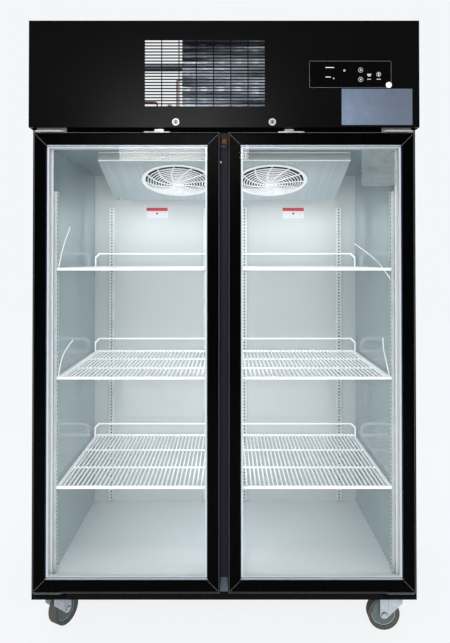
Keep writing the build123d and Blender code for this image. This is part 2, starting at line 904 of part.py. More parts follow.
def frame_bar(length):
    """A door frame bar along X, its outer edge at Z = 0, mitred at both ends."""
    depth = door_frame_depth
    width = door_frame_width
    lip = door_lip_thickness
    pocket = lip + glass_unit_thickness
    section = outline([
        (door_bevel_depth, 0),
        (0, door_bevel_width),
        (0, width - door_inner_chamfer),
        (door_inner_chamfer, width),
        (lip, width),
        (lip, door_web_width),
        (pocket, door_web_width),
        (pocket, door_web_width + door_bead_width),
        (depth, door_web_width + door_bead_width),
        (depth, 0),
    ])
    bar = along_x(section, (-length / 2, length / 2))
    half = length / 2 - mitre_gap / math.sqrt(2)
    mitre = outline([(-half, 0), (half, 0), (half - width, width), (width - half, width)])
    return bar & Pos(0, depth + 1, 0) * extrude(Plane.XZ * mitre, depth + 2)


def door_width():
    """Width of one door."""
    return half_width - door_side_inset - door_centre_gap / 2


def door_middle_x():
    """Middle of the right door."""
    return door_centre_gap / 2 + door_width() / 2


def door_plane():
    """Front face of the right door, seen from its middle."""
    return Pos(door_middle_x(), door_front_y, door_bottom + door_height / 2)


def door_frame(side):
    """Four mitred bars round the glass, bored for the hinge pins."""
    upright = Pos(-door_width() / 2, 0, 0) * Rot(0, 90, 0) * frame_bar(door_height)
    level = Pos(0, 0, -door_height / 2) * frame_bar(door_width())
    turn = Rot(0, 180, 0)
    bars = [upright, level, turn * upright, turn * level]
    bore = Cylinder(hinge_pin_radius + hinge_pin_fit, 2 * (hinge_pin_reach + 1.0))
    framed = []
    for bar in bars:
        bar = door_plane() * bar
        for height in (door_bottom, door_top):
            bar -= Pos(hinge_x, hinge_y, height) * bore
        framed.append(mirrored(bar, side))
    return framed


def door_ring(start, width, depth):
    """A ring round the right door's middle: where it starts from the edge, its width and its depths."""
    outer = Rectangle(door_width() - 2 * start, door_height - 2 * start)
    inner = Rectangle(door_width() - 2 * (start + width), door_height - 2 * (start + width))
    ring = extrude(Plane.XZ * (outer - inner), depth[1] - depth[0])
    return door_plane() * Pos(0, depth[1], 0) * ring


def door_glass(side):
    """Outer and inner pane of a door."""
    start = door_web_width + glass_edge_gap
    panes = []
    front = door_lip_thickness
    rear = door_lip_thickness + glass_unit_thickness
    for depth in ((front, front + glass_sheet), (rear - glass_sheet, rear)):
        pane = Plane.XZ * Rectangle(door_width() - 2 * start, door_height - 2 * start)
        pane = door_plane() * Pos(0, depth[1], 0) * extrude(pane, glass_sheet)
        panes.append(mirrored(pane, side))
    return panes


def door_spacer(side):
    """Metal spacer between the panes."""
    front = door_lip_thickness + glass_sheet
    rear = door_lip_thickness + glass_unit_thickness - glass_sheet
    return mirrored(door_ring(spacer_start, spacer_width, (front, rear)), side)


def door_gasket(side):
    """Magnetic gasket behind a door's frame, narrower at the face that seals."""
    depth = (door_frame_depth, door_frame_depth + gasket_thickness)
    gasket = door_ring(gasket_start, gasket_width, depth)
    gasket = chamfer(gasket.edges().group_by(Axis.Y)[-1], gasket_chamfer)
    return mirrored(gasket, side)


def lock_strike(side):
    """Plate on a door's top edge with the raised tab that the cam drops behind."""
    y = (door_front_y + strike_front - strike_sheet, door_front_y + strike_front + strike_width)
    x = (strike_inner_x, strike_inner_x + strike_length)
    plate = block(x, y, (door_top, door_top + strike_sheet))
    tab_x = (strike_tab_inner_x, strike_tab_inner_x + strike_tab_length)
    tab_y = (y[0], y[0] + strike_sheet)
    plate += block(tab_x, tab_y, (door_top, door_top + strike_tab_height))
    return mirrored(plate, side)


def hinge_bracket(side, top):
    """Angle bracket on the cabinet's face with the pin that carries a door."""
    inner_x = half_width - door_side_inset - hinge_plate_length
    x = (inner_x, half_width - door_side_inset)
    y = (face_y - hinge_plate_width, face_y)
    leg_y = (face_y - hinge_plate_sheet, face_y)
    if top:
        z = (door_top + hinge_plate_gap, hinge_plate_top)
        leg_z = (hinge_plate_top, hinge_plate_top + hinge_leg_height)
        pin_z = (door_top - hinge_pin_reach, z[0])
        collar_z = (door_top + slip_gap, z[0])
    else:
        z = (door_bottom - hinge_plate_gap - hinge_plate_sheet, door_bottom - hinge_plate_gap)
        leg_z = (z[0] - hinge_leg_height, z[0])
        pin_z = (z[1], door_bottom + hinge_pin_reach)
        collar_z = (z[1], door_bottom - slip_gap)
    plate = block(x, y, z)
    plate = chamfer(plate.edges().filter_by(Axis.Z).group_by(Axis.Y)[0], hinge_plate_width / 5)
    bracket = plate + block(x, leg_y, leg_z)
    pin = Cylinder(hinge_pin_radius, pin_z[1] - pin_z[0])
    bracket += Pos(hinge_x, hinge_y, (pin_z[0] + pin_z[1]) / 2) * pin
    collar = extrude(RegularPolygon(hinge_collar_radius, small_round_sides), collar_z[1] - collar_z[0])
    bracket += Pos(hinge_x, hinge_y, collar_z[0]) * collar
    return mirrored(bracket, side)


def hinge_brackets():
    """Top and bottom hinge bracket of both doors."""
    return [hinge_bracket(side, top) for side in (-1, 1) for top in (True, False)]


def unit_base():
    """Sheet tray that carries the cooling unit on the roof, its edges folded up."""
    x = (unit_left, unit_right)
    y = (face_y + unit_front_setback, back_y - unit_rear_setback)
    tray = block(x, y, (roof_height, roof_height + unit_lip))
    inside_x = (x[0] + unit_sheet, x[1] - unit_sheet)
    inside_y = (y[0] - 1, y[1] - unit_sheet)
    return tray - block(inside_x, inside_y, (roof_height + unit_sheet, roof_height + 2 * unit_lip))


def unit_floor():
    """Height of the unit tray's floor."""
    return roof_height + unit_sheet


def condenser_front_y():
    """Front face of the condenser."""
    return face_y + condenser_setback


def condenser():
    """Finned condenser behind the louvre: end plates, and fins cut as a row of grooves."""
    x = (condenser_left, condenser_left + condenser_width)
    y = (condenser_front_y(), condenser_front_y() + condenser_depth)
    z = (unit_floor(), unit_floor() + condenser_height)
    plates = block(x, y, z)
    core_x = (x[0] + condenser_end_plate, x[1] - condenser_end_plate)
    plates -= block(core_x, (y[0] - 1, y[1] + 1), (z[0] + condenser_foot, z[1] + 1))
    core_z = (z[0] + condenser_foot, z[1] - condenser_foot)
    core = block(core_x, (y[0] + 2.0, y[1] - 2.0), core_z)
    pitch = (core_x[1] - core_x[0]) / (condenser_fin_count + 1)
    for number in range(condenser_fin_count):
        middle = core_x[0] + (number + 1) * pitch
        groove_x = (middle - pitch / 4, middle + pitch / 4)
        core -= block(groove_x, (y[0], y[0] + condenser_depth / 4), (z[0], z[1]))
    return plates + core


def condenser_fan_plane():
    """Plane at the middle of the condenser's fan, its Z pointing back."""
    x = condenser_left + condenser_width / 2
    y = condenser_front_y() + condenser_depth + shroud_depth / 2
    return Plane(origin=(x, y, unit_floor() + condenser_height / 2), x_dir=(1, 0, 0), z_dir=(0, 1, 0))


def condenser_shroud():
    """Sheet box behind the condenser with the opening that the fan turns in."""
    x = (condenser_left, condenser_left + condenser_width)
    start = condenser_front_y() + condenser_depth
    y = (start, start + shroud_depth)
    z = (unit_floor(), unit_floor() + condenser_height)
    shroud = block(x, y, z)
    inside_x = (x[0] + shroud_sheet, x[1] - shroud_sheet)
    inside_z = (z[0] + shroud_sheet, z[1] - shroud_sheet)
    shroud -= block(inside_x, (y[0] - 1, y[1] - shroud_sheet), inside_z)
    opening = Plane.XZ * Circle(condenser_fan_opening)
    middle = Pos((x[0] + x[1]) / 2, y[1] + 1, (z[0] + z[1]) / 2)
    shroud -= extrude(middle * opening, 4 * shroud_sheet)
    return shroud


def condenser_fan():
    """Fan wheel behind the condenser."""
    return condenser_fan_plane() * fan_blade(condenser_fan_radius)


def compressor():
    """Hermetic compressor: a can with sloping ends and a seam round its middle, on a foot plate."""
    base = unit_floor() + compressor_foot_height
    wall = RegularPolygon(compressor_radius, compressor_sides)
    body_height = compressor_height - 2 * compressor_dome
    dome = extrude(wall, compressor_dome, taper=45)
    can = Pos(0, 0, compressor_dome) * extrude(wall, body_height)
    can += Pos(0, 0, compressor_dome + body_height) * dome
    can += Pos(0, 0, compressor_dome) * Rot(180, 0, 0) * dome
    seam = extrude(RegularPolygon(compressor_radius + compressor_seam, compressor_sides), compressor_seam)
    can += Pos(0, 0, compressor_height / 2) * seam
    foot = block(
        (-compressor_radius, compressor_radius),
        (-compressor_radius * 0.75, compressor_radius * 0.75),
        (-compressor_foot_sheet, 0),
    )
    post_height = compressor_foot_height - compressor_foot_sheet
    post = extrude(RegularPolygon(compressor_post_radius, 6), -post_height)
    for place in GridLocations(1.7 * compressor_radius, 1.2 * compressor_radius, 2, 2):
        foot += Pos(0, 0, -compressor_foot_sheet) * place * post
    return Pos(compressor_x, compressor_y, base) * (can + foot)


def suction_x():
    """Where the refrigerant pipe goes down through the roof, across."""
    return suction_side_gap - coil_width / 2


def suction_y():
    """Where the refrigerant pipe goes down through the roof, in depth."""
    return cover_front_y + cover_slope_depth + coil_clearance + coil_depth / 2


def pipe_run(points):
    """A copper pipe along straight runs."""
    start = Vector(*points[0])
    way = Vector(*points[1]) - start
    section = Plane(origin=start, z_dir=way) * RegularPolygon(pipe_radius, small_round_sides)
    return sweep(section, path=Polyline(*points), transition=Transition.RIGHT)


def refrigerant_pipes():
    """Discharge pipe from compressor to condenser, and the line with its drier down to the coil."""
    side = condenser_left + condenser_width
    level = unit_floor() + condenser_height * 0.8
    tap = compressor_x - compressor_radius
    start_z = unit_floor() + compressor_foot_height + compressor_height * 0.7
    middle_y = condenser_front_y() + condenser_depth / 2
    discharge = pipe_run([
        (tap - slip_gap, compressor_y, start_z),
        (tap - pipe_reach, compressor_y, start_z),
        (tap - pipe_reach, middle_y, start_z),
        (tap - pipe_reach, middle_y, level),
        (side, middle_y, level),
    ])
    drier_z = unit_floor() + drier_over_unit
    coil_top = ceiling_height - coil_clearance
    drier_end = condenser_left - drier_side_gap
    line = pipe_run([
        (condenser_left, middle_y, drier_z + pipe_drop),
        (condenser_left - pipe_reach / 2, middle_y, drier_z + pipe_drop),
        (condenser_left - pipe_reach / 2, middle_y, drier_z),
        (suction_x(), middle_y, drier_z),
        (suction_x(), suction_y(), drier_z),
        (suction_x(), suction_y(), coil_top),
    ])
    drier = Rot(0, 90, 0) * extrude(RegularPolygon(drier_radius, 12), drier_length / 2, both=True)
    drier = Pos(drier_end - drier_length / 2, middle_y, drier_z) * drier
    return [discharge, line + drier]


def top_brace():
    """Folded cross rail that ties the side panels together above the cooling unit."""
    half = half_width - sheet
    z = (overall_height - brace_under_top, overall_height - brace_under_top + brace_height)
    section = outline([
        (brace_y, z[0]),
        (brace_y + brace_sheet, z[0]),
        (brace_y + brace_sheet, z[1] - brace_sheet),
        (brace_y + brace_depth, z[1] - brace_sheet),
        (brace_y + brace_depth, z[1]),
        (brace_y, z[1]),
    ])
    return along_x(section, (-half, half))


def cord_gland():
    """Mains cord gland through the unit tray's rear fold: hexagon, sleeve and bore."""
    y = back_y - unit_rear_setback
    bracket_bottom = roof_height + unit_lip
    z = bracket_bottom + gland_radius + 1.0
    bracket_x = (gland_x - gland_bracket_half, gland_x + gland_bracket_half)
    bracket = block(bracket_x, (y - unit_sheet, y), (bracket_bottom, z + gland_radius + gland_margin))
    nut = extrude(Plane.XZ * RegularPolygon(gland_radius + gland_wall, 6), -gland_length / 3)
    sleeve = extrude(Plane.XZ * RegularPolygon(gland_radius, small_round_sides), -gland_length)
    bore = RegularPolygon(gland_radius - gland_wall, small_round_sides)
    bore = extrude(Plane.XZ * bore, 2 * gland_length, both=True)
    return bracket + Pos(gland_x, y, z) * (nut + sleeve) - Pos(gland_x, y, z) * bore


def castor_places():
    """Swivel axis of each castor."""
    front = face_y + castor_front_setback
    rear = back_y - castor_rear_setback
    castor_x = half_width - castor_side_setback
    return {
        "front_left": (-castor_x, front),
        "front_right": (castor_x, front),
        "rear_left": (-castor_x, rear),
        "rear_right": (castor_x, rear),
    }


def crown_top():
    """Height of the top of a castor's fork."""
    return castor_height - castor_plate_sheet - castor_race_height - castor_running_gap


def castor_plate():
    """Castor plate about Z with its race, king pin and the head that holds the fork."""
    top = castor_height
    bottom = top - castor_plate_sheet
    plate = Pos(0, 0, (top + bottom) / 2) * Box(castor_plate_length, castor_plate_width, castor_plate_sheet)
    race_bottom = bottom - castor_race_height
    race = extrude(RegularPolygon(castor_race_radius, castor_race_sides), castor_race_height)
    head_top = crown_top() - fork_sheet - castor_running_gap
    pin = Pos(0, 0, (race_bottom + head_top) / 2) * Cylinder(kingpin_radius, race_bottom - head_top)
    head = extrude(RegularPolygon(kingpin_head_radius, 6), kingpin_head_height)
    return plate + Pos(0, 0, race_bottom) * race + pin + Pos(0, 0, head_top - kingpin_head_height) * head


def castor_plates():
    """The fixed top of each castor."""
    plate = castor_plate()
    return [Pos(x, y, 0) * plate for x, y in castor_places().values()]


def castor_fork():
    """Swivelling fork about Z, its wheel trailing along +X, with the axle bolt."""
    top = crown_top()
    leg_y = wheel_width / 2 + wheel_side_gap
    nose_x = wheel_trail + fork_nose
    crown = block((-fork_tail, nose_x), (-leg_y - fork_sheet, leg_y + fork_sheet), (top - fork_sheet, top))
    rise = fork_shoulder_height - wheel_radius
    run = fork_tail + wheel_trail
    lean = math.atan2(rise, run) + math.asin(fork_nose / math.hypot(rise, run))
    nose = []
    for number in range(fork_nose_facets + 1):
        turn = -number / fork_nose_facets * (math.pi / 2 + lean)
        nose.append((wheel_trail + fork_nose * math.cos(turn), wheel_radius + fork_nose * math.sin(turn)))
    outline_leg = outline(nose + [(-fork_tail, fork_shoulder_height), (-fork_tail, top), (nose_x, top)])
    leg = Pos(0, leg_y + fork_sheet, 0) * extrude(Plane.XZ * outline_leg, fork_sheet)
    fork = crown + leg + mirror(leg, about=Plane.XZ)
    fork -= Pos(0, 0, top) * Cylinder(kingpin_radius + kingpin_fit, 4 * fork_sheet)
    axle = along_y(axle_radius, (-leg_y - fork_sheet, leg_y + fork_sheet))
    head = extrude(Plane.XZ * RegularPolygon(axle_head_radius, 6), axle_head_height)
    axle += Pos(0, -leg_y - fork_sheet, 0) * head
    axle += Pos(0, leg_y + fork_sheet + axle_head_height, 0) * head
    return fork + Pos(wheel_trail, 0, wheel_radius) * axle


def castor_wheel():
    """Wheel about Y at the origin: round tread, recessed web and proud hub, bored for the axle."""
    half = wheel_width / 2
    wheel = Cylinder(wheel_radius, wheel_width)
    hub = RegularPolygon(axle_radius + hub_wall, hub_sides)
    recess = extrude(RegularPolygon(wheel_radius - tyre_depth, web_sides) - hub, web_recess)
    for turn in (0, 180):
        wheel -= Rot(turn, 0, 0) * Pos(0, 0, half - web_recess) * recess
        wheel += Rot(turn, 0, 0) * Pos(0, 0, half) * extrude(hub, hub_proud)
    wheel -= Cylinder(axle_radius + axle_fit, 2 * wheel_width)
    return Rot(90, 0, 0) * wheel


def castor(name):
    """Fork and wheel of one castor where they stand at rest."""
    x, y = castor_places()[name]
    place = Pos(x, y, 0) * Rot(0, 0, castor_headings[name])
    return place * castor_fork(), place * Pos(wheel_trail, 0, wheel_radius) * castor_wheel()


def sides(pieces, name, make):
    """Adds a left and a right piece."""
    pieces["left_" + name] = make(-1)
    pieces["right_" + name] = make(1)


def all_pieces():
    """Every sub-part by its name."""
    pieces = {
        "back_panel": back_panel(),
        "base_tray": base_tray(),
        "base_rail": base_rail(),
        "top_deck": top_deck(),
        "insulation": insulation(),
        "breaker_strip": breaker_strip(),
        "liner_sides": liner_sides(),
        "liner_back": liner_back(),
        "liner_floor_and_ceiling": liner_floor_and_ceiling(),
        "mullion": mullion(),
        "mullion_lamp": mullion_lamp(),
        "shelf_pilasters": shelf_pilasters(),
        "shelf_clips": shelf_clips(),
        "evaporator_cover": evaporator_cover(),
        "evaporator_coil": evaporator_coil(),
        "fan_motors": fan_motors(),
        "fan_guards": fan_guards(),
        "header_panel": header_panel(),
        "control_panel": control_panel(),
        "lock_barrels": lock_barrels(),
        "hinge_brackets": hinge_brackets(),
        "unit_base": unit_base(),
        "condenser": condenser(),
        "condenser_shroud": condenser_shroud(),
        "condenser_fan": condenser_fan(),
        "compressor": compressor(),
        "refrigerant_pipes": refrigerant_pipes(),
        "top_brace": top_brace(),
        "cord_gland": cord_gland(),
        "castor_plates": castor_plates(),
    }
    sides(pieces, "side_panel", side_panel)
    sides(pieces, "door_frame", door_frame)
    sides(pieces, "door_glass", door_glass)
    sides(pieces, "door_spacer", door_spacer)
    sides(pieces, "door_gasket", door_gasket)
    sides(pieces, "lock_strike", lock_strike)
    sides(pieces, "lock", lock)
    sides(pieces, "evaporator_fan", evaporator_fan)
    for level, top in zip(shelf_levels, shelf_tops):
        pieces[f"left_{level}_shelf"] = shelf(-1, top)
        pieces[f"right_{level}_shelf"] = shelf(1, top)
    for name in castor_places():
        fork, wheel = castor(name)
        pieces[name + "_fork"] = fork
        pieces[name + "_wheel"] = wheel
    return pieces


os.makedirs("parts", exist_ok=True)
for piece_name, piece in all_pieces().items():
    shape = Compound(children=piece) if isinstance(piece, list) else piece
    export_step(shape, f"parts/{piece_name}.step")
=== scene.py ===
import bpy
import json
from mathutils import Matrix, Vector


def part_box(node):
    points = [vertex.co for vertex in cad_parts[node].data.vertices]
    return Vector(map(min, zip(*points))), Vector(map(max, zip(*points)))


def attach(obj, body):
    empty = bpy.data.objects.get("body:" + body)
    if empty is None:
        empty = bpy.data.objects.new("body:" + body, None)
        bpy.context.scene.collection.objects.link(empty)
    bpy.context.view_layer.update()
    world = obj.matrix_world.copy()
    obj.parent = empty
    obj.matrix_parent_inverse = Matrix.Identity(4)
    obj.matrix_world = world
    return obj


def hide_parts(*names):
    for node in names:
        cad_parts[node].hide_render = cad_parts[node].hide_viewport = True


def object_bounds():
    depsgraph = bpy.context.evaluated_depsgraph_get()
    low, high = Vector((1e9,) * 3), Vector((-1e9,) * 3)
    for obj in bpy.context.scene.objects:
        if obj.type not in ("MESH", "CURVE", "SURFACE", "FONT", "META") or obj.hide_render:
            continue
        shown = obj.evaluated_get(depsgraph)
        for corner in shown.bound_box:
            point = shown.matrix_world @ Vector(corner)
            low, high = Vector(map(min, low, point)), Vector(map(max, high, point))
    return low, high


bl_info = {
    "name": "Display Refrigerator Dressing",
    "version": (1, 0, 0),
    "blender": (4, 5, 0),
    "location": "View3D > Sidebar > Refrigerator",
    "description": "Dresses the packed display refrigerator with its finishes, trims and studio",
    "category": "Object",
}

import json
import math

import bpy
from mathutils import Matrix, Vector

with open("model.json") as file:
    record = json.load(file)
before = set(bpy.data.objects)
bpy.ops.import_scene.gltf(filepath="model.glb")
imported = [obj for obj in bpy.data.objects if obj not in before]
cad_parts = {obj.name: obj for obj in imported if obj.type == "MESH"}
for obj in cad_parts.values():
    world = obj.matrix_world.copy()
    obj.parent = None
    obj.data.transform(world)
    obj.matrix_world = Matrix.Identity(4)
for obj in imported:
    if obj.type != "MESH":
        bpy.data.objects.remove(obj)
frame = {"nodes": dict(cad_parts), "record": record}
CAD_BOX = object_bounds()
JOINTS = {joint["name"]: joint for joint in frame["record"]["behaviour"]["joints"]}

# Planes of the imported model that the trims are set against, in metres
FACE_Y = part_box("base_rail")[0][1]
HEADER_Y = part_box("header_panel")[0][1]
BACK_WALL_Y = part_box("liner_back")[0][1]
DOOR_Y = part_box("left_door_frame")[0][1]
ROOF_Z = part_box("top_deck")[1][2]

# Turn of a flat or round piece that faces the viewer, and where each side lies along X
FACING = (math.pi / 2, 0.0, 0.0)
SIDES = {"left": -1, "right": 1}

# Length of one wave of the condenser's fins, which its finish follows too
FIN_WAVE = 0.0545


def corners(node):
    """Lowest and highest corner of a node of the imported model."""
    low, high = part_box(node)
    return Vector(low), Vector(high)


def look():
    return bpy.context.scene.refrigerator_look


def linear(*channels):
    """A colour written as on screen, from 0 to 255, turned into the renderer's own values."""
    def channel(value):
        share = value / 255.0
        return share / 12.92 if share <= 0.04045 else ((share + 0.055) / 1.055) ** 2.4
    return tuple(channel(value) for value in channels)


def toned(colour, share):
    """A colour with every channel brought to a share of its value."""
    return tuple(channel * share for channel in colour)


def set_stops(ramp, stops):
    """Gives a ramp its stops, each a position and a grey value."""
    while len(ramp.elements) < len(stops):
        ramp.elements.new(1.0)
    for element, (position, value) in zip(ramp.elements, stops):
        element.position = position
        element.color = (value, value, value, 1.0)


def add_node(tree, kind, settings, sockets, output=0):
    """Adds a node to a tree: its settings, then what its sockets hold, and gives one of its outputs."""
    new = tree.nodes.new(kind)
    for name, value in settings.items():
        if name == "stops":
            set_stops(new.color_ramp, value)
        else:
            setattr(new, name, value)
    for name, value in sockets.items():
        if isinstance(value, bpy.types.NodeSocket):
            tree.links.new(value, new.inputs[name])
        else:
            new.inputs[name].default_value = value
    return new.outputs[output] if new.outputs else None


class Link:
    """A shader socket on which Python's arithmetic adds Math nodes."""

    def __init__(self, finish, socket):
        self.finish = finish
        self.socket = socket

    def math(self, operation, *values):
        return self.finish.math(operation, self, *values)

    def __add__(self, other):
        return self.math("ADD", other)

    __radd__ = __add__

    def __mul__(self, other):
        return self.math("MULTIPLY", other)

    __rmul__ = __mul__

    def __sub__(self, other):
        return self.math("SUBTRACT", other)

    def __rsub__(self, other):
        return self.finish.math("SUBTRACT", other, self)

    def __truediv__(self, other):
        return self.math("DIVIDE", other)

    def __gt__(self, other):
        return self.math("GREATER_THAN", other)

    def __lt__(self, other):
        return self.math("LESS_THAN", other)

    def __abs__(self):
        return self.math("ABSOLUTE")

    def capped(self):
        """The value, but one where it is more."""
        return self.math("MINIMUM", 1.0)

    def share(self, low, high):
        """How far the value has come from the low one to the high one."""
        return (self - low) / (high - low)

    def near(self, middle, half_width):
        """One where the value is within the half width of the middle, else nought."""
        return abs(self - middle) < half_width

    def stripes(self, pitch, share):
        """One on the first share of every pitch, else nought."""
        return (self / pitch).math("FRACT") < share


class Finish:
    """A material being made: its node tree and the shader that everything ends in."""

    def __init__(self, name, colour, roughness, metallic=0.0, **constants):
        self.material = bpy.data.materials.new(name)
        self.material.use_nodes = True
        self.tree = self.material.node_tree
        self.shader = self.tree.nodes["Principled BSDF"]
        self.set("Base Color", (*colour, 1.0))
        self.set("Roughness", roughness)
        self.set("Metallic", metallic)
        for socket, value in constants.items():
            self.set(socket.replace("_", " "), value)
        self.place = self.node("ShaderNodeTexCoord", {}, {}, "Object")
        parts = self.tree.nodes.new("ShaderNodeSeparateXYZ")
        self.tree.links.new(self.place.socket, parts.inputs[0])
        self.x, self.y, self.z = (Link(self, parts.outputs[axis]) for axis in "XYZ")

    def set(self, socket, value):
        if isinstance(value, Link):
            self.tree.links.new(value.socket, self.shader.inputs[socket])
        else:
            self.shader.inputs[socket].default_value = value

    def node(self, kind, settings, sockets, output=0):
        """Adds a node: its settings, the values or links of its sockets, and which output to use."""
        plugs = {}
        for name, value in sockets.items():
            plugs[name] = value.socket if isinstance(value, Link) else value
        return Link(self, add_node(self.tree, kind, settings, plugs, output))

    def math(self, operation, *values):
        return self.node("ShaderNodeMath", {"operation": operation}, dict(enumerate(values)))

    def distance(self, first, second):
        """Straight distance that two distances at right angles make."""
        return self.math("SQRT", first * first + second * second)

    def noise(self, scale, detail=3.0, stretch=(1.0, 1.0, 1.0)):
        """Cloudy noise with so many waves per metre, drawn out along an axis whose value is small."""
        placed = self.node("ShaderNodeMapping", {}, {"Vector": self.place, "Scale": stretch})
        return self.node("ShaderNodeTexNoise", {}, {"Vector": placed, "Scale": scale, "Detail": detail})

    def cells(self, scale):
        """Distance from the middles of cells, so many per metre."""
        return self.node("ShaderNodeTexVoronoi", {}, {"Vector": self.place, "Scale": scale}, "Distance")

    def ramp(self, value, *stops):
        return self.node("ShaderNodeValToRGB", {"stops": stops}, {0: value})

    def mix(self, mask, first, second):
        """A colour that goes from the first to the second with the mask."""
        first = first if isinstance(first, Link) else (*first, 1.0)
        second = second if isinstance(second, Link) else (*second, 1.0)
        return self.node("ShaderNodeMix", {"data_type": "RGBA"}, {0: mask, 6: first, 7: second}, 2)

    def mottle(self, noise, first, second, roughness, swing):
        """Lets a noise vary the colour between two shades, and the roughness up from its lowest value."""
        self.set("Base Color", self.mix(noise, first, second))
        self.set("Roughness", roughness + noise * swing)

    def bump(self, height, strength, distance):
        sockets = {"Height": height, "Strength": strength, "Distance": distance}
        self.set("Normal", self.node("ShaderNodeBump", {}, sockets))

    def brushed(self, stretch):
        """Fine scratches, drawn out along an axis whose value is small, with their own bump."""
        scratches = self.noise(260.0, 3.0, stretch)
        self.bump(scratches, 0.05, 0.0002)
        return scratches


def painted_steel(name, colour, roughness, specular):
    """Powder-coated sheet: fine orange peel, and a gloss that varies a little from place to place."""
    finish = Finish(name, colour, roughness, Specular_IOR_Level=specular)
    peel = finish.noise(900.0, 2.0)
    cloud = finish.noise(3.0, 4.0)
    paler = tuple(channel * 1.6 + 0.0004 for channel in colour)
    finish.mottle(cloud, colour, paler, roughness - 0.06, 0.12)
    finish.bump(peel, 0.06, 0.0003)
    return finish.material


def black_steel():
    return painted_steel("black_steel", linear(*look().body_shade), 0.28, 0.12)


def black_frame():
    """Black anodised door profile with a fine drawn grain."""
    finish = Finish("black_frame", linear(1, 1, 1), 0.26, Specular_IOR_Level=0.035)
    grain = finish.noise(60.0, 3.0, (1.0, 1.0, 0.02))
    finish.mottle(grain, linear(0, 0, 0), linear(3, 3, 3), 0.22, 0.12)
    finish.bump(grain, 0.04, 0.0003)
    return finish.material


def mullion_black():
    """Dark centre post with a fine pebbled skin."""
    finish = Finish("mullion_black", linear(20, 25, 34), 0.5, Specular_IOR_Level=0.3)
    pebbles = finish.cells(420.0)
    finish.set("Base Color", finish.mix(pebbles, linear(34, 41, 54), linear(10, 13, 20)))
    finish.bump(pebbles, 0.3, 0.0006)
    return finish.material


def inner_sheet(name, colour, roughness, metallic):
    """Satin metal sheet, brushed upwards, which mirrors softly what stands before it."""
    finish = Finish(name, colour, roughness, metallic)
    brushed = finish.brushed((1.0, 1.0, 0.01))
    cloud = finish.noise(2.2, 4.0)
    darker = toned(colour, 0.94)
    finish.set("Base Color", finish.mix(brushed, darker, finish.mix(cloud, darker, colour)))
    finish.set("Roughness", roughness - 0.05 + brushed * 0.06 + cloud * 0.04)
    return finish.material


def floor_sheet():
    """Satin floor, painted paler towards the doors where the front light falls, and a ceiling painted
    darker as shade.
    """
    finish = Finish("floor_sheet", linear(220, 226, 228), 0.34, 0.2)
    low, high = corners("liner_floor_and_ceiling")
    brushed = finish.brushed((0.01, 1.0, 1.0))
    cloud = finish.noise(2.2, 4.0)
    # Painted light: the floor is paler towards the doors, where light from the front falls.
    painted_front_light = finish.ramp(finish.y.share(low.y, high.y) + (cloud - 0.5) * 0.2, (0.0, 0.0), (0.35, 1.0))
    floor = finish.mix(painted_front_light, linear(252, 254, 255), linear(220, 227, 229))
    floor = finish.mix(brushed * 0.2, floor, linear(196, 206, 210))
    # Painted shade: the ceiling is a darker copy of the floor sheet.
    ceiling = finish.mix(brushed, linear(116, 133, 140), linear(138, 154, 161))
    overhead = finish.z > (low.z + high.z) / 2
    finish.set("Base Color", finish.mix(overhead, floor, ceiling))
    finish.set("Roughness", 0.3 + brushed * 0.06 + cloud * 0.04)
    return finish.material


def cover_sheet():
    """Brushed evaporator cover with a greenish fascia between two folded edges that carry painted
    highlights.
    """
    fascia_height = 0.029
    fascia_depth = 0.003
    fold_inset = 0.0015
    half_fold = 0.0018
    finish = Finish("cover_sheet", linear(182, 196, 202), 0.32, 0.3)
    low, high = corners("evaporator_cover")
    front = finish.y < low.y + fascia_depth
    top_fold_highlight = finish.z.near(high.z - fold_inset, half_fold)
    foot_fold_highlight = finish.z.near(high.z - fascia_height + fold_inset, half_fold)
    brushed = finish.brushed((1.0, 0.01, 0.01))
    cloud = finish.noise(3.0, 3.0)
    pan = finish.mix(brushed, linear(148, 162, 167), linear(194, 204, 207))
    fascia = finish.mix(cloud, linear(124, 134, 133), linear(144, 153, 152))
    # Painted highlight: bright lines along the fascia's two folded edges.
    fold_highlights = ((top_fold_highlight + foot_fold_highlight) * front).capped()
    finish.set("Base Color", finish.mix(fold_highlights, finish.mix(front, pan, fascia), linear(206, 212, 212)))
    finish.set("Metallic", 0.3 - front * 0.25)
    finish.set("Roughness", 0.28 + brushed * 0.1)
    return finish.material


def galvanised_sheet():
    """Zinc-coated sheet with large faint spangles."""
    finish = Finish("galvanised_sheet", linear(176, 180, 184), 0.38, 0.85)
    finish.mottle(finish.cells(70.0), linear(184, 188, 192), linear(160, 165, 170), 0.3, 0.25)
    return finish.material


def white_coating(name, colour, glow=0.0):
    """White plastic coating with a slight waviness where it has run, and a little painted glow that
    lightens it.
    """
    finish = Finish(name, colour, 0.36, Coat_Weight=0.2, Emission_Strength=glow)
    finish.set("Emission Color", (1.0, 1.0, 1.0, 1.0))
    run = finish.noise(120.0, 2.0)
    finish.mottle(run, colour, toned(colour, 0.94), 0.32, 0.12)
    finish.bump(run, 0.05, 0.0005)
    return finish.material


def zinc_plate():
    """Bright zinc plating, bluish, with a few dull patches."""
    finish = Finish("zinc_plate", linear(190, 198, 208), 0.3, 0.9)
    finish.mottle(finish.noise(45.0, 4.0), linear(205, 212, 220), linear(150, 158, 168), 0.22, 0.2)
    finish.bump(finish.noise(400.0), 0.05, 0.0002)
    return finish.material


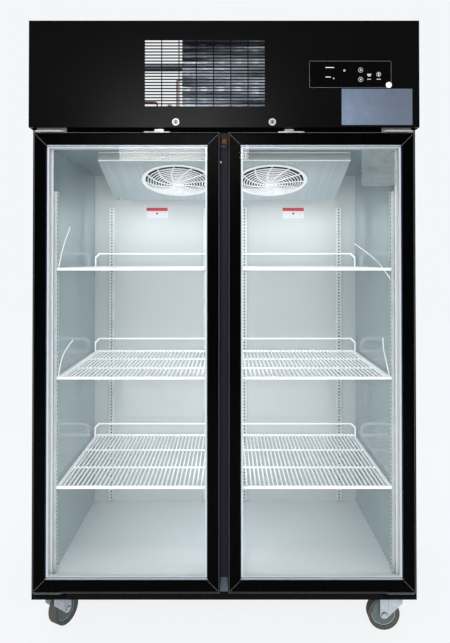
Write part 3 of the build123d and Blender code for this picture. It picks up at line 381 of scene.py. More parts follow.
def hinge_metal():
    """Bright plated hinge plates above the doors; below the middle the same plates are near black, save a
    painted highlight line just under the doors' bottom edge.
    """
    lip_drop = 0.0035
    half_lip = 0.0008
    finish = Finish("hinge_metal", linear(196, 200, 202), 0.3, 0.3, Specular_IOR_Level=0.08)
    low, high = corners("hinge_brackets")
    upper = finish.z > (low.z + high.z) / 2
    # Painted highlight: a faint bright line just under the doors' bottom edge.
    lip = finish.z.near(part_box("left_door_frame")[0][2] - lip_drop, half_lip)
    bright = (upper + lip * 0.3).capped()
    cloud = finish.noise(70.0, 5.0)
    plated = finish.mix(cloud, linear(236, 240, 240), linear(120, 126, 130))
    finish.set("Base Color", finish.mix(bright, linear(1, 1, 1), plated))
    finish.set("Metallic", bright * 0.3)
    finish.set("Roughness", 0.24 + cloud * 0.2)
    return finish.material


def brace_sheet():
    """Folded galvanised brace with a painted reflection: the pale sky above and the dark housing below."""
    finish = Finish("brace_sheet", linear(96, 110, 124), 0.35, 0.2)
    low, high = corners("top_brace")
    cloud = finish.noise(30.0, 3.0, (0.2, 1.0, 1.0))
    height = finish.z.share(low.z, high.z) + (cloud - 0.5) * 0.3
    # Painted reflection: dark at the foot of the brace, pale towards its top.
    fold = finish.ramp(height, (0.12, 0.0), (0.4, 0.25), (0.95, 1.0))
    finish.set("Base Color", finish.mix(fold, linear(8, 10, 13), linear(176, 190, 202)))
    finish.set("Roughness", 0.3 + cloud * 0.15)
    return finish.material


def slotted_zinc():
    """Zinc-plated channels with a ladder of punched slots down their middles, the slots painted dark as
    the shade in them.
    """
    outer_x = 0.467
    inner_x = 0.079
    rear_from = 0.2
    side_y = FACE_Y + 0.027
    half_slot = 0.0032
    finish = Finish("slotted_zinc", linear(196, 203, 209), 0.3, 0.3)
    cloud = finish.noise(30.0, 4.0)
    rung = finish.z.stripes(look().slot_pitch, 0.42)
    across = abs(finish.x)
    on_back = (across.near(outer_x, half_slot) + across.near(inner_x, half_slot)) * (finish.y > rear_from)
    # Painted shade: the slots are coloured dark, as the shade seen through them.
    slots = rung * (on_back + finish.y.near(side_y, half_slot))
    metal = finish.mix(cloud, linear(226, 232, 232), linear(184, 192, 193))
    finish.set("Base Color", finish.mix(slots, metal, linear(30, 38, 42)))
    finish.set("Roughness", 0.24 + cloud * 0.16 + slots * 0.3)
    finish.set("Metallic", 0.3 - slots * 0.3)
    return finish.material


def chrome_plate():
    """Nickel-bright lock metal: a turned rim with a painted highlight round a dished face painted duller
    as shade.
    """
    rim_radius = 0.0125
    finish = Finish("chrome_plate", linear(205, 205, 205), 0.3, 0.4)
    low, high = corners("lock_barrels")
    barrel_x = high.x - (high.z - low.z) / 2
    radius = finish.distance(abs(finish.x) - barrel_x, finish.z - (low.z + high.z) / 2)
    marks = finish.noise(700.0, 2.0)
    # Painted highlight on the rim; the dished face inside it painted duller as shade.
    bright = finish.ramp(radius / rim_radius, (0.42, 0.0), (0.54, 1.0), (0.8, 1.0), (0.9, 0.0))
    face = finish.mix(marks, linear(150, 150, 152), linear(104, 104, 106))
    finish.set("Base Color", finish.mix(bright, face, linear(206, 206, 204)))
    finish.set("Roughness", 0.22 + marks * 0.16)
    return finish.material


def clear_glass():
    """Clear pane that reflects a little more at a slant, with a faint film of dust."""
    finish = Finish("clear_glass", (1.0, 1.0, 1.0), 0.03, 1.0)
    slant = finish.node("ShaderNodeLayerWeight", {}, {"Blend": 0.25}, "Fresnel")
    dust = finish.noise(12.0, 5.0)
    finish.set("Alpha", 0.006 + slant * 0.1 + dust * 0.006)
    return finish.material


def spacer_bar():
    """Edge of the double glazing: a dark seal beside the frame, then the pale perforated spacer, its holes
    a little darker as painted shade.
    """
    seal_width = 0.0068
    hole_pitch = 0.006
    groove_inset = 0.0085
    half_groove = 0.0012
    finish = Finish("spacer_bar", linear(150, 164, 172), 0.4, 0.3)
    low, high = corners("left_door_spacer")
    middle = (low + high) / 2
    half = (high - low) / 2
    from_side = half.x - abs(abs(finish.x) - abs(middle.x))
    from_end = half.z - abs(finish.z - middle.z)
    seal = (from_side < seal_width) * (from_side < from_end)
    holes = (finish.x + finish.z).stripes(hole_pitch, 0.3)
    groove = from_end.near(groove_inset, half_groove)
    # Painted shade: the perforations are a little darker.
    pale = finish.mix(holes * 0.25, linear(222, 230, 234), linear(130, 142, 150))
    pale = finish.mix(groove, pale, linear(96, 100, 122))
    finish.set("Base Color", finish.mix(seal, pale, linear(46, 56, 78)))
    finish.set("Roughness", 0.34 + holes * 0.2)
    return finish.material


def gasket_rubber():
    """Dull black rubber with a fine grain."""
    finish = Finish("gasket_rubber", linear(14, 14, 15), 0.7)
    grain = finish.noise(300.0)
    finish.set("Roughness", 0.6 + grain * 0.2)
    finish.bump(grain, 0.1, 0.0004)
    return finish.material


def gloss_panel():
    """Glossy film over the control panel, with faint dust."""
    finish = Finish("gloss_panel", linear(2, 2, 3), 0.1, Specular_IOR_Level=0.08)
    finish.mottle(finish.noise(60.0, 5.0), linear(1, 1, 2), linear(7, 7, 8), 0.07, 0.08)
    return finish.material


def foam_core():
    """Yellowish insulating foam with small cells."""
    finish = Finish("foam_core", linear(226, 214, 170), 0.9)
    cells = finish.noise(180.0, 4.0)
    finish.set("Base Color", finish.mix(cells, linear(232, 221, 180), linear(206, 190, 140)))
    finish.bump(cells, 0.4, 0.002)
    return finish.material


def finned_metal():
    """Stacked fins and tube ends of a heat exchanger, as uneven courses of painted highlight and painted
    shade, brighter towards the end of each wave.
    """
    finish = Finish("finned_metal", linear(120, 130, 142), 0.4, 0.15)
    course = finish.noise(64.0, 2.0, (0.03, 0.004, 1.0))
    patch = (finish.x / FIN_WAVE).math("FRACT")
    # Painted highlight where each wave of the fins tilts towards the light and on bright courses; painted
    # shade in the dark courses.
    wave_highlight = finish.ramp(patch, (0.55, 0.0), (0.85, 1.0)) * finish.ramp(course, (0.5, 0.0), (0.56, 0.4))
    row_highlight = finish.ramp(course, (0.6, 0.0), (0.64, 1.0))
    shade = finish.ramp(course, (0.38, 0.0), (0.56, 1.0))
    dull = finish.mix(shade, linear(44, 50, 58), linear(146, 154, 164))
    finish.set("Base Color", finish.mix(wave_highlight.math("MAXIMUM", row_highlight), dull, linear(240, 244, 250)))
    finish.set("Roughness", 0.36 + patch * 0.15)
    return finish.material


def copper():
    """Drawn copper with patches of tarnish."""
    finish = Finish("copper", linear(196, 124, 92), 0.3, 0.6)
    finish.mottle(finish.noise(40.0, 4.0), linear(222, 170, 146), linear(158, 106, 84), 0.22, 0.25)
    return finish.material


def moulded_plastic(name, colour, roughness):
    """Moulded plastic with a fine grain and a slightly uneven colour."""
    finish = Finish(name, colour, roughness)
    grain = finish.noise(600.0, 2.0)
    cloud = finish.noise(14.0, 3.0)
    finish.set("Base Color", finish.mix(cloud, colour, toned(colour, 0.85)))
    finish.set("Roughness", roughness - 0.05 + grain * 0.1)
    finish.bump(grain, 0.06, 0.0003)
    return finish.material


def lamp_cover():
    """Milky lamp cover that glows."""
    finish = Finish("lamp_cover", (0.9, 0.92, 0.95), 0.5)
    finish.set("Emission Color", (0.93, 0.97, 1.0, 1.0))
    finish.set("Emission Strength", look().lamp_glow)
    return finish.material


def wheel_centre(name):
    """Middle of a castor's wheel."""
    low, high = corners(f"{name}_wheel")
    return (low + high) / 2


def wheel_heading(name):
    """Direction in which a castor's wheel trails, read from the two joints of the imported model."""
    way = Vector(JOINTS[f"{name}_roll"]["pos_m"]) - Vector(JOINTS[f"{name}_swivel"]["pos_m"])
    way.z = 0.0
    return way.normalized()


def from_axle(finish, name):
    """Distances from a castor's axle: along its heading, upwards, and straight."""
    axle = wheel_centre(name)
    heading = wheel_heading(name)
    along = (finish.x - axle.x) * heading.x + (finish.y - axle.y) * heading.y
    height = finish.z - axle.z
    return along, height, finish.distance(along, height)


def castor_wheel(name):
    """Grey tyre, bright ring and teal hub of one castor, told apart by the distance from its axle."""
    tyre_edge = 0.039
    tread_edge = 0.034
    half_tread = 0.0145
    ring_radius = 0.0365
    half_ring = 0.0009
    finish = Finish(f"{name}_wheel", linear(70, 74, 76), 0.6)
    axle = wheel_centre(name)
    heading = wheel_heading(name)
    radius = from_axle(finish, name)[2]
    across = abs((finish.y - axle.y) * heading.x - (finish.x - axle.x) * heading.y)
    tread = across < half_tread
    tyre = ((radius > tyre_edge) + tread * (radius > tread_edge)).capped()
    ring = radius.near(ring_radius, half_ring)
    scuffs = finish.noise(90.0, 5.0)
    rubber = finish.mix(scuffs, linear(*look().tyre_shade), linear(96, 94, 90))
    hub = finish.mix(scuffs, linear(76, 92, 94), linear(114, 127, 130))
    tone = finish.mix(tyre, hub, rubber)
    finish.set("Base Color", finish.mix(ring, tone, linear(206, 216, 212)))
    finish.set("Roughness", 0.5 + scuffs * 0.2)
    finish.bump(scuffs, 0.1, 0.0006)
    return finish.material


def castor_fork(name):
    """Bright pressed fork: painted shade down the crease of its cheek, and the axle head with its painted
    shadow.
    """
    crease_at = -0.0135
    half_crease = 0.0007
    head_radius = 0.0085
    half_shadow = 0.0012
    shadow_foot = -0.002
    finish = Finish(f"{name}_fork", linear(200, 207, 214), 0.34, 0.35)
    along, height, radius = from_axle(finish, name)
    cloud = finish.noise(60.0, 4.0)
    sheet = finish.mix(cloud, linear(222, 228, 234), linear(176, 184, 192))
    # Painted shade along the crease, and a painted shadow above the axle head.
    crease = along.near(crease_at, half_crease)
    shadow = radius.near(head_radius, half_shadow) * (height > shadow_foot)
    finish.set("Base Color", finish.mix((crease * 0.5 + shadow).capped(), sheet, linear(60, 68, 72)))
    finish.set("Roughness", 0.26 + cloud * 0.2)
    finish.bump(cloud, 0.06, 0.0004)
    return finish.material


def foil_plate():
    """Bare silver foil with a painted highlight towards its left, slightly creased."""
    finish = Finish("foil_plate", linear(150, 160, 176), 0.4, 0.3)
    low, high = corners("control_panel")
    share = finish.x.share(low.x, high.x).capped()
    crease = finish.noise(40.0, 4.0)
    # Painted highlight: the foil is paler towards its left.
    tone = finish.mix(share, linear(128, 146, 172), linear(112, 124, 142))
    finish.set("Base Color", finish.mix(crease * 0.5, tone, linear(74, 84, 98)))
    finish.set("Roughness", 0.4 + crease * 0.2)
    finish.bump(crease, 0.1, 0.001)
    return finish.material


def clear_film():
    """Thin milky film stuck on a pane, creased and greyish."""
    finish = Finish("clear_film", linear(188, 198, 200), 0.35)
    cloud = finish.noise(60.0, 4.0, (0.4, 1.0, 1.0))
    crease = finish.noise(160.0, 3.0)
    finish.set("Base Color", finish.mix(crease, linear(190, 198, 200), linear(84, 96, 100)))
    finish.set("Alpha", 0.06 + cloud * 0.36)
    return finish.material


def plain(name, colour, roughness, metallic=0.0):
    """Small trim in one colour, a little mottled."""
    finish = Finish(name, colour, roughness, metallic)
    finish.mottle(finish.noise(150.0, 3.0), colour, toned(colour, 0.88), roughness - 0.04, 0.08)
    return finish.material


def deselect_all():
    if bpy.context.object and bpy.context.object.mode != "OBJECT":
        bpy.ops.object.mode_set(mode="OBJECT")
    bpy.ops.object.select_all(action="DESELECT")


def apply_modifier(kind, **settings):
    """Adds a modifier to the active piece and applies it."""
    piece = bpy.context.object
    modifier = piece.modifiers.new(kind.lower(), kind)
    for name, value in settings.items():
        setattr(modifier, name, value)
    bpy.ops.object.modifier_apply(modifier=modifier.name)


def add_block(low, high, edge=0.00005):
    """A block between two corners with rounded edges, left as the active piece."""
    deselect_all()
    low, high = Vector(low), Vector(high)
    bpy.ops.mesh.primitive_cube_add(size=1.0, location=(low + high) / 2, scale=high - low)
    bpy.ops.object.transform_apply(location=True, rotation=True, scale=True)
    apply_modifier("BEVEL", width=edge, segments=2, limit_method="ANGLE")
    return bpy.context.object


def add_plate(left, right, foot, top, face, depth, edge=0.00005):
    """A thin block that lies on a face and stands out from it towards the front."""
    return add_block((left, face - depth, foot), (right, face, top), edge)


def add_disc(centre, radius, depth, turn=FACING, sides=24, edge=0.00005):
    """A round disc or rod about the centre with rounded edges, left as the active piece."""
    deselect_all()
    bpy.ops.mesh.primitive_cylinder_add(
        vertices=sides, radius=radius, depth=depth, location=centre, rotation=turn)
    bpy.ops.object.transform_apply(location=True, rotation=True, scale=True)
    apply_modifier("BEVEL", width=edge, segments=2, limit_method="ANGLE")
    return bpy.context.object


def add_ring(centre, radius, thickness, turn=FACING, sides=32, wire_sides=6):
    """A ring of round wire, left as the active piece."""
    deselect_all()
    bpy.ops.mesh.primitive_torus_add(
        major_radius=radius, minor_radius=thickness, major_segments=sides, minor_segments=wire_sides,
        location=centre, rotation=turn)
    bpy.ops.object.transform_apply(location=True, rotation=True, scale=True)
    return bpy.context.object


def add_wire(points, thickness, sides=6):
    """A smooth wire through the points, made a mesh, left as the active piece."""
    deselect_all()
    curve = bpy.data.curves.new("wire", "CURVE")
    curve.dimensions = "3D"
    curve.bevel_depth = thickness
    curve.bevel_resolution = sides // 2 - 2
    curve.use_fill_caps = True
    spline = curve.splines.new("NURBS")
    spline.points.add(len(points) - 1)
    for spot, place in zip(spline.points, points):
        spot.co = (*place, 1.0)
    spline.order_u = 3
    spline.use_endpoint_u = True
    spline.resolution_u = 6
    wire = bpy.data.objects.new("wire", curve)
    bpy.context.scene.collection.objects.link(wire)
    bpy.context.view_layer.objects.active = wire
    wire.select_set(True)
    bpy.ops.object.convert(target="MESH")
    return bpy.context.object


def rounded(route, bend):
    """Control points for a wire that runs straight between the corners and bends round them."""
    route = [Vector(point) for point in route]
    points = [route[0]]
    for before, corner, after in zip(route, route[1:], route[2:]):
        step = min(bend, (corner - before).length / 2, (after - corner).length / 2)
        points.append(corner + (before - corner).normalized() * step)
        points.append(corner)
        points.append(corner + (after - corner).normalized() * step)
    return points + [route[-1]]


def flatten(piece, normal, centre, keep):
    """Squeezes a piece along a direction about a point, to a share of its thickness."""
    squeeze = Matrix.Scale(keep, 4, normal)
    piece.data.transform(Matrix.Translation(centre) @ squeeze @ Matrix.Translation(-centre))


def join(pieces):
    """Joins pieces into one, left as the active piece."""
    deselect_all()
    for piece in pieces:
        piece.select_set(True)
    bpy.context.view_layer.objects.active = pieces[0]
    bpy.ops.object.join()
    return bpy.context.object


def dress(piece, name, body, material, replaces=()):
    """Names a finished piece, shades it, gives it its material and lets it ride on a body."""
    deselect_all()
    piece.select_set(True)
    bpy.context.view_layer.objects.active = piece
    piece.name = name
    piece.data.name = name
    piece.data.materials.clear()
    piece.data.materials.append(material)
    bpy.ops.object.shade_smooth_by_angle(angle=math.radians(30.0))
    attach(piece, body)
    if replaces:
        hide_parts(*replaces)


class RefrigeratorLook(bpy.types.PropertyGroup):
    """Sizes and colours of the dressed refrigerator."""

    body_shade: bpy.props.IntVectorProperty(
        name="Body shade", description="Black of the painted sheets, as on screen",
        default=(3, 3, 3), min=0, max=255)
    tyre_shade: bpy.props.IntVectorProperty(
        name="Tyre shade", description="Grey of the castor tyres, as on screen",
        default=(66, 66, 64), min=0, max=255)
    slot_pitch: bpy.props.FloatProperty(
        name="Slot pitch", description="Distance between the slots of a shelf channel",
        default=0.0127, unit="LENGTH", precision=4)
    fin_pitch: bpy.props.FloatProperty(
        name="Fin pitch", description="Distance between the condenser's rows of fins",
        default=0.0104, unit="LENGTH", precision=4)
    lamp_glow: bpy.props.FloatProperty(
        name="Lamp glow", description="How brightly the mullion lamp shines", default=6.0, min=0.0)
    guard_rings: bpy.props.IntProperty(
        name="Guard rings", description="Rings of each fan guard", default=10, min=3)
    guard_spokes: bpy.props.IntProperty(
        name="Guard spokes", description="Curved spokes of each fan guard", default=12, min=4)


class FRIDGE_OT_finishes(bpy.types.Operator):
    """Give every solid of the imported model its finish"""

    bl_idname = "refrigerator.finishes"
    bl_label = "Finishes"

    def execute(self, context):
        black = black_steel()
        frame_black = black_frame()
        zinc = zinc_plate()
        chrome = chrome_plate()
        galvanised = galvanised_sheet()
        # Painted light: the shelves glow a little, though they are no lamp.
        shelf_white = white_coating("shelf_white", linear(244, 247, 250), 0.18)
        guard_white = white_coating("guard_white", linear(236, 239, 242))
        dark_plastic = moulded_plastic("dark_plastic", linear(26, 27, 29), 0.5)
        fins = finned_metal()
        glass = clear_glass()
        spacer = spacer_bar()
        gasket = gasket_rubber()
        finishes = {
            "left_side_panel": black, "right_side_panel": black, "header_panel": black,
            "base_rail": black, "top_deck": black, "condenser_shroud": black,
            "top_brace": brace_sheet(), "mullion": mullion_black(), "mullion_lamp": lamp_cover(),
            "back_panel": galvanised, "base_tray": galvanised, "unit_base": galvanised,
            "insulation": foam_core(), "liner_floor_and_ceiling": floor_sheet(),
            # Painted shade: the side walls are a darker copy of the rear sheet's metal.
            "liner_sides": inner_sheet("wall_sheet_in_shade", linear(168, 185, 189), 0.16, 0.45),
            "liner_back": inner_sheet("rear_sheet", linear(202, 209, 211), 0.14, 0.3),
            "evaporator_cover": cover_sheet(), "evaporator_coil": fins, "condenser": fins,
            "fan_guards": guard_white, "breaker_strip": guard_white,
            "fan_motors": dark_plastic, "condenser_fan": dark_plastic, "cord_gland": dark_plastic,
            "control_panel": gloss_panel(), "lock_barrels": chrome, "hinge_brackets": hinge_metal(),
            "shelf_pilasters": slotted_zinc(), "shelf_clips": zinc, "castor_plates": zinc,
            "compressor": painted_steel("compressor_paint", linear(18, 18, 19), 0.4, 0.4),
            "refrigerant_pipes": copper(),
        }
        for side in SIDES:
            finishes[f"{side}_door_frame"] = frame_black
            finishes[f"{side}_door_glass"] = glass
            finishes[f"{side}_door_spacer"] = spacer
            finishes[f"{side}_door_gasket"] = gasket
            finishes[f"{side}_lock_strike"] = zinc
            finishes[f"{side}_lock"] = chrome
            finishes[f"{side}_evaporator_fan"] = dark_plastic
            for level in ("lower", "middle", "upper"):
                finishes[f"{side}_{level}_shelf"] = shelf_white
            for end in ("front", "rear"):
                finishes[f"{end}_{side}_fork"] = castor_fork(f"{end}_{side}")
                finishes[f"{end}_{side}_wheel"] = castor_wheel(f"{end}_{side}")
        missing = set(frame["nodes"]) - set(finishes)
        if missing:
            raise RuntimeError(f"no finish for {sorted(missing)}")
        for name, material in finishes.items():
            mesh = frame["nodes"][name].data
            mesh.materials.clear()
            mesh.materials.append(material)
        return {"FINISHED"}


class FRIDGE_OT_fan_guards(bpy.types.Operator):
    """Model the two white fan guards with their rings and curved spokes"""

    bl_idname = "refrigerator.fan_guards"
    bl_label = "Fan guards"

    def execute(self, context):
        parts = []
        for side in SIDES.values():
            parts += self.guard(side)
        dress(
            join(parts), "fan_guard_detail", "cabinet", bpy.data.materials["guard_white"],
            replaces=["fan_guards"])
        return {"FINISHED"}

    def guard(self, side):
        """One guard: a flat rim, rings over a shallow dome, a disc in the middle and the spokes."""
        outer = 0.1255
        inner = 0.112
        core = 0.011
        core_depth = 0.004
        wire = 0.0019
        fan_to_sheet = 0.016
        rim_lift = 0.002
        rim_flatness = 0.3
        overlap = 0.003
        spoke_sweep = 0.5
        spoke_steps = 6
        spin = JOINTS["left_evaporator_fan_spin"]
        normal = Vector(spin["axis"])
        hub = Vector(spin["pos_m"])
        hub.x = side * abs(hub.x)
        sheet = hub - normal * fan_to_sheet
        turn = normal.to_track_quat("Z", "Y").to_euler()
        rim_middle = sheet - normal * rim_lift
        rim = add_ring(rim_middle, (outer + inner) / 2, (outer - inner) / 2, turn, sides=72, wire_sides=12)
        flatten(rim, normal, rim_middle, rim_flatness)
        parts = [rim]
        rings = look().guard_rings
        for number in range(rings):
            share = (number + 1) / (rings + 1)
            radius = core + share * (inner - core)
            parts.append(add_ring(sheet - normal * self.dome(share), radius, wire, turn, sides=56))
        middle = sheet - normal * self.dome(0.0)
        parts.append(add_disc(middle, core, core_depth, turn, sides=32, edge=0.0012))
        spokes = look().guard_spokes
        across = Vector((1.0, 0.0, 0.0))
        along = normal.cross(across)
        spoke_start = core * 0.8
        spoke_wire = wire * 1.1
        for number in range(spokes):
            start = 2 * math.pi * number / spokes
            points = []
            for step in range(spoke_steps + 1):
                share = step / spoke_steps
                angle = start + spoke_sweep * share
                radius = spoke_start + share * (inner + overlap - spoke_start)
                way = across * math.cos(angle) + along * math.sin(angle)
                points.append(sheet - normal * self.dome(share) + way * radius)
            parts.append(add_wire(points, spoke_wire))
        return parts

    @staticmethod
    def dome(share):
        """How far the guard stands off the sheet: flat in the middle, falling towards its rim."""
        middle_height = 0.0165
        rim_height = 0.003
        return rim_height + (middle_height - rim_height) * (1 - share ** 2.2)


class FRIDGE_OT_interior_trims(bpy.types.Operator):
    """Add the small labels on the back wall, the shelf ties and the mullion's trims"""

    bl_idname = "refrigerator.interior_trims"
    bl_label = "Interior trims"

    def execute(self, context):
        self.labels()
        self.ties()
        self.mullion_trims()
        return {"FINISHED"}

    def labels(self):
        """Two small labels on the back wall, each with a red bar and a round mark."""
        label_x = 0.281
        half_width = 0.0445
        top = 1.396
        foot = top - 0.046
        paper_y = BACK_WALL_Y - 0.0006
        bar_left = 0.044
        bar_right = 0.0435
        bar_top = top - 0.001
        bar_foot = top - 0.015
        mark_y = BACK_WALL_Y - 0.0008
        mark_z = top - 0.0255
        white = plain("label_white", linear(196, 200, 204), 0.45)
        red = plain("label_red", linear(176, 56, 66), 0.45)
        for side, way in SIDES.items():
            x = way * label_x
            left, right = x - half_width, x + half_width
            sheet = add_plate(left, right, foot, top, BACK_WALL_Y, BACK_WALL_Y - paper_y, 0.0002)
            dress(sheet, f"{side}_wall_label", "cabinet", white)
            bar = add_plate(x - bar_left, x + bar_right, bar_foot, bar_top, paper_y, 0.0003, 0.0001)
            dress(bar, f"{side}_wall_label_bar", "cabinet", red)
            spot = add_disc((x, mark_y, mark_z), radius=0.0045, depth=0.0004)
            dress(spot, f"{side}_wall_label_mark", "cabinet", red)

    def ties(self):
        """Thin white ties that stand up at the shelves' outer front corners."""
        thickness = 0.0016
        routes = {
            "left_upper": [
                (-0.524, -0.283, 1.152), (-0.52, -0.275, 1.19),
                (-0.512, -0.262, 1.235), (-0.497, -0.25, 1.285),
            ],
            "left_middle": [
                (-0.524, -0.283, 0.809), (-0.521, -0.275, 0.85),
                (-0.508, -0.262, 0.893), (-0.487, -0.25, 0.92),
            ],
            "right_upper": [
                (0.528, -0.283, 1.115), (0.508, -0.263, 1.152),
                (0.499, -0.203, 1.183), (0.453, -0.103, 1.234),
            ],
            "right_middle": [
                (0.522, -0.283, 0.812), (0.515, -0.27, 0.86),
                (0.508, -0.26, 0.898), (0.511, -0.25, 0.928),
            ],
        }
        white = plain("tie_white", (1.0, 1.0, 1.0), 0.5)
        for name, points in routes.items():
            dress(add_wire(points, thickness), f"{name}_tie", f"{name}_shelf", white)

    def mullion_trims(self):
        """Small pieces on the front of the mullion: its cap, end stop, clip, foot and screw."""
        amber = plain("amber_cap", linear(100, 58, 14), 0.4)
        grey = plain("foot_grey", linear(96, 106, 116), 0.4, 0.5)
        black = bpy.data.materials["mullion_black"]
        for name, left, right, foot, top, depth, edge, material in (
            ("mullion_cap", -0.008, 0.009, 1.542, 1.559, 0.004, 0.002, amber),
            ("mullion_end_stop", -0.0145, 0.0145, 1.522, 1.5415, 0.002, 0.0008, black),
            ("mullion_clip", -0.014, 0.007, 1.533, 1.536, 0.003, 0.0008, grey),
            ("mullion_foot", -0.016, 0.016, 0.147, 0.192, 0.003, 0.001, grey),
        ):
            trim = add_plate(left, right, foot, top, FACE_Y, depth, edge)
            dress(trim, name, "cabinet", material)
        screw_place = (-0.0114, FACE_Y - 0.001, 1.4847)
        screw = add_disc(screw_place, radius=0.0035, depth=0.002, sides=20, edge=0.0006)
        dress(screw, "mullion_screw", "cabinet", bpy.data.materials["guard_white"])


class FRIDGE_OT_condenser_face(bpy.types.Operator):
    """Model the condenser with its rows of wavy fins between two end plates"""

    bl_idname = "refrigerator.condenser_face"
    bl_label = "Condenser face"

    def execute(self, context):
        plate = 0.003
        rail = 0.004
        fold_depth = 0.01
        core_inset = 0.001
        edge = 0.0008
        low, high = corners("condenser")
        left = low.x + plate
        right = high.x - plate
        parts = [self.wavy_rows(left, right, low.z + rail, high.z - rail, low.y, fold_depth)]
        parts.append(add_block(
            (left, low.y + fold_depth, low.z + rail), (right, high.y - core_inset, high.z - rail), 0.001))
        for x in (low.x, right):
            parts.append(add_block((x, low.y, low.z), (x + plate, high.y, high.z), edge))
        for z in (low.z, high.z - rail):
            parts.append(add_block((left, low.y, z), (right, high.y, z + rail), edge))
        dress(
            join(parts), "condenser_body", "cabinet", bpy.data.materials["finned_metal"],
            replaces=["condenser"])
        return {"FINISHED"}

    @staticmethod
    def wavy_rows(left, right, foot, top, front, fold_depth):
        """A sheet folded into rows, which rise and fall a little along their length."""
        wave_height = 0.0012
        sheet_inset = 0.0005
        points_per_wave = 8
        points_per_row = 4
        pitch = look().fin_pitch
        width = right - left
        height = top - foot
        deselect_all()
        bpy.ops.mesh.primitive_grid_add(
            x_subdivisions=round(points_per_wave * width / FIN_WAVE),
            y_subdivisions=round(points_per_row * height / pitch),
            size=1.0, location=((left + right) / 2, front, (foot + top) / 2), rotation=FACING)
        sheet = bpy.context.object
        sheet.scale = (width, height, 1.0)
        bpy.ops.object.transform_apply(location=True, rotation=True, scale=True)
        for vertex in sheet.data.vertices:
            rise = wave_height * math.sin(2 * math.pi * vertex.co.x / FIN_WAVE)
            fold = math.sin(2 * math.pi * (vertex.co.z + rise) / pitch)
            vertex.co.y = front + sheet_inset + fold_depth * (1 + fold) / 2
        apply_modifier("SOLIDIFY", thickness=0.0004, offset=-1.0)
        return bpy.context.object


class FRIDGE_OT_tubes(bpy.types.Operator):
    """Bend the copper tubes of the cooling unit, with the drier on the liquid line"""

    bl_idname = "refrigerator.tubes"
    bl_label = "Copper tubes"

    def execute(self, context):
        radius = 0.0026
        bend = 0.014
        pipes_low, pipes_high = corners("refrigerant_pipes")
        condenser_low, condenser_high = corners("condenser")
        compressor_low, compressor_high = corners("compressor")
        front = (condenser_low.y + condenser_high.y) / 2

        outlet = condenser_low.x
        drop_x = outlet - 0.019
        rise_x = outlet - 0.083
        left = pipes_low.x + radius
        rear = pipes_high.y - radius
        outlet_z = ROOF_Z + 0.17
        low_z = ROOF_Z + 0.052
        line_z = ROOF_Z + 0.098
        liquid_line = [
            (outlet, front, outlet_z), (drop_x, front, outlet_z), (drop_x, front, low_z),
            (rise_x, front, low_z), (rise_x, front, line_z), (left, front, line_z),
            (left, rear, line_z), (left, rear, pipes_low.z),
        ]

        tap_x = compressor_low.x
        tap_y = (compressor_low.y + compressor_high.y) / 2
        tap_z = ROOF_Z + 0.1475
        bend_x = tap_x - 0.06
        top = pipes_high.z - radius
        discharge_line = [
            (tap_x, tap_y, tap_z), (bend_x, tap_y, tap_z), (bend_x, front, tap_z), (bend_x, front, top),
            (condenser_high.x, front, top),
        ]

        drier_y = -0.08
        parts = [add_wire(rounded(route, bend), radius, 10) for route in (liquid_line, discharge_line)]
        parts.append(add_disc((left, drier_y, line_z), radius=0.01, depth=0.09, edge=0.003))
        dress(
            join(parts), "copper_tubes", "cabinet", bpy.data.materials["copper"],
            replaces=["refrigerant_pipes"])
        return {"FINISHED"}


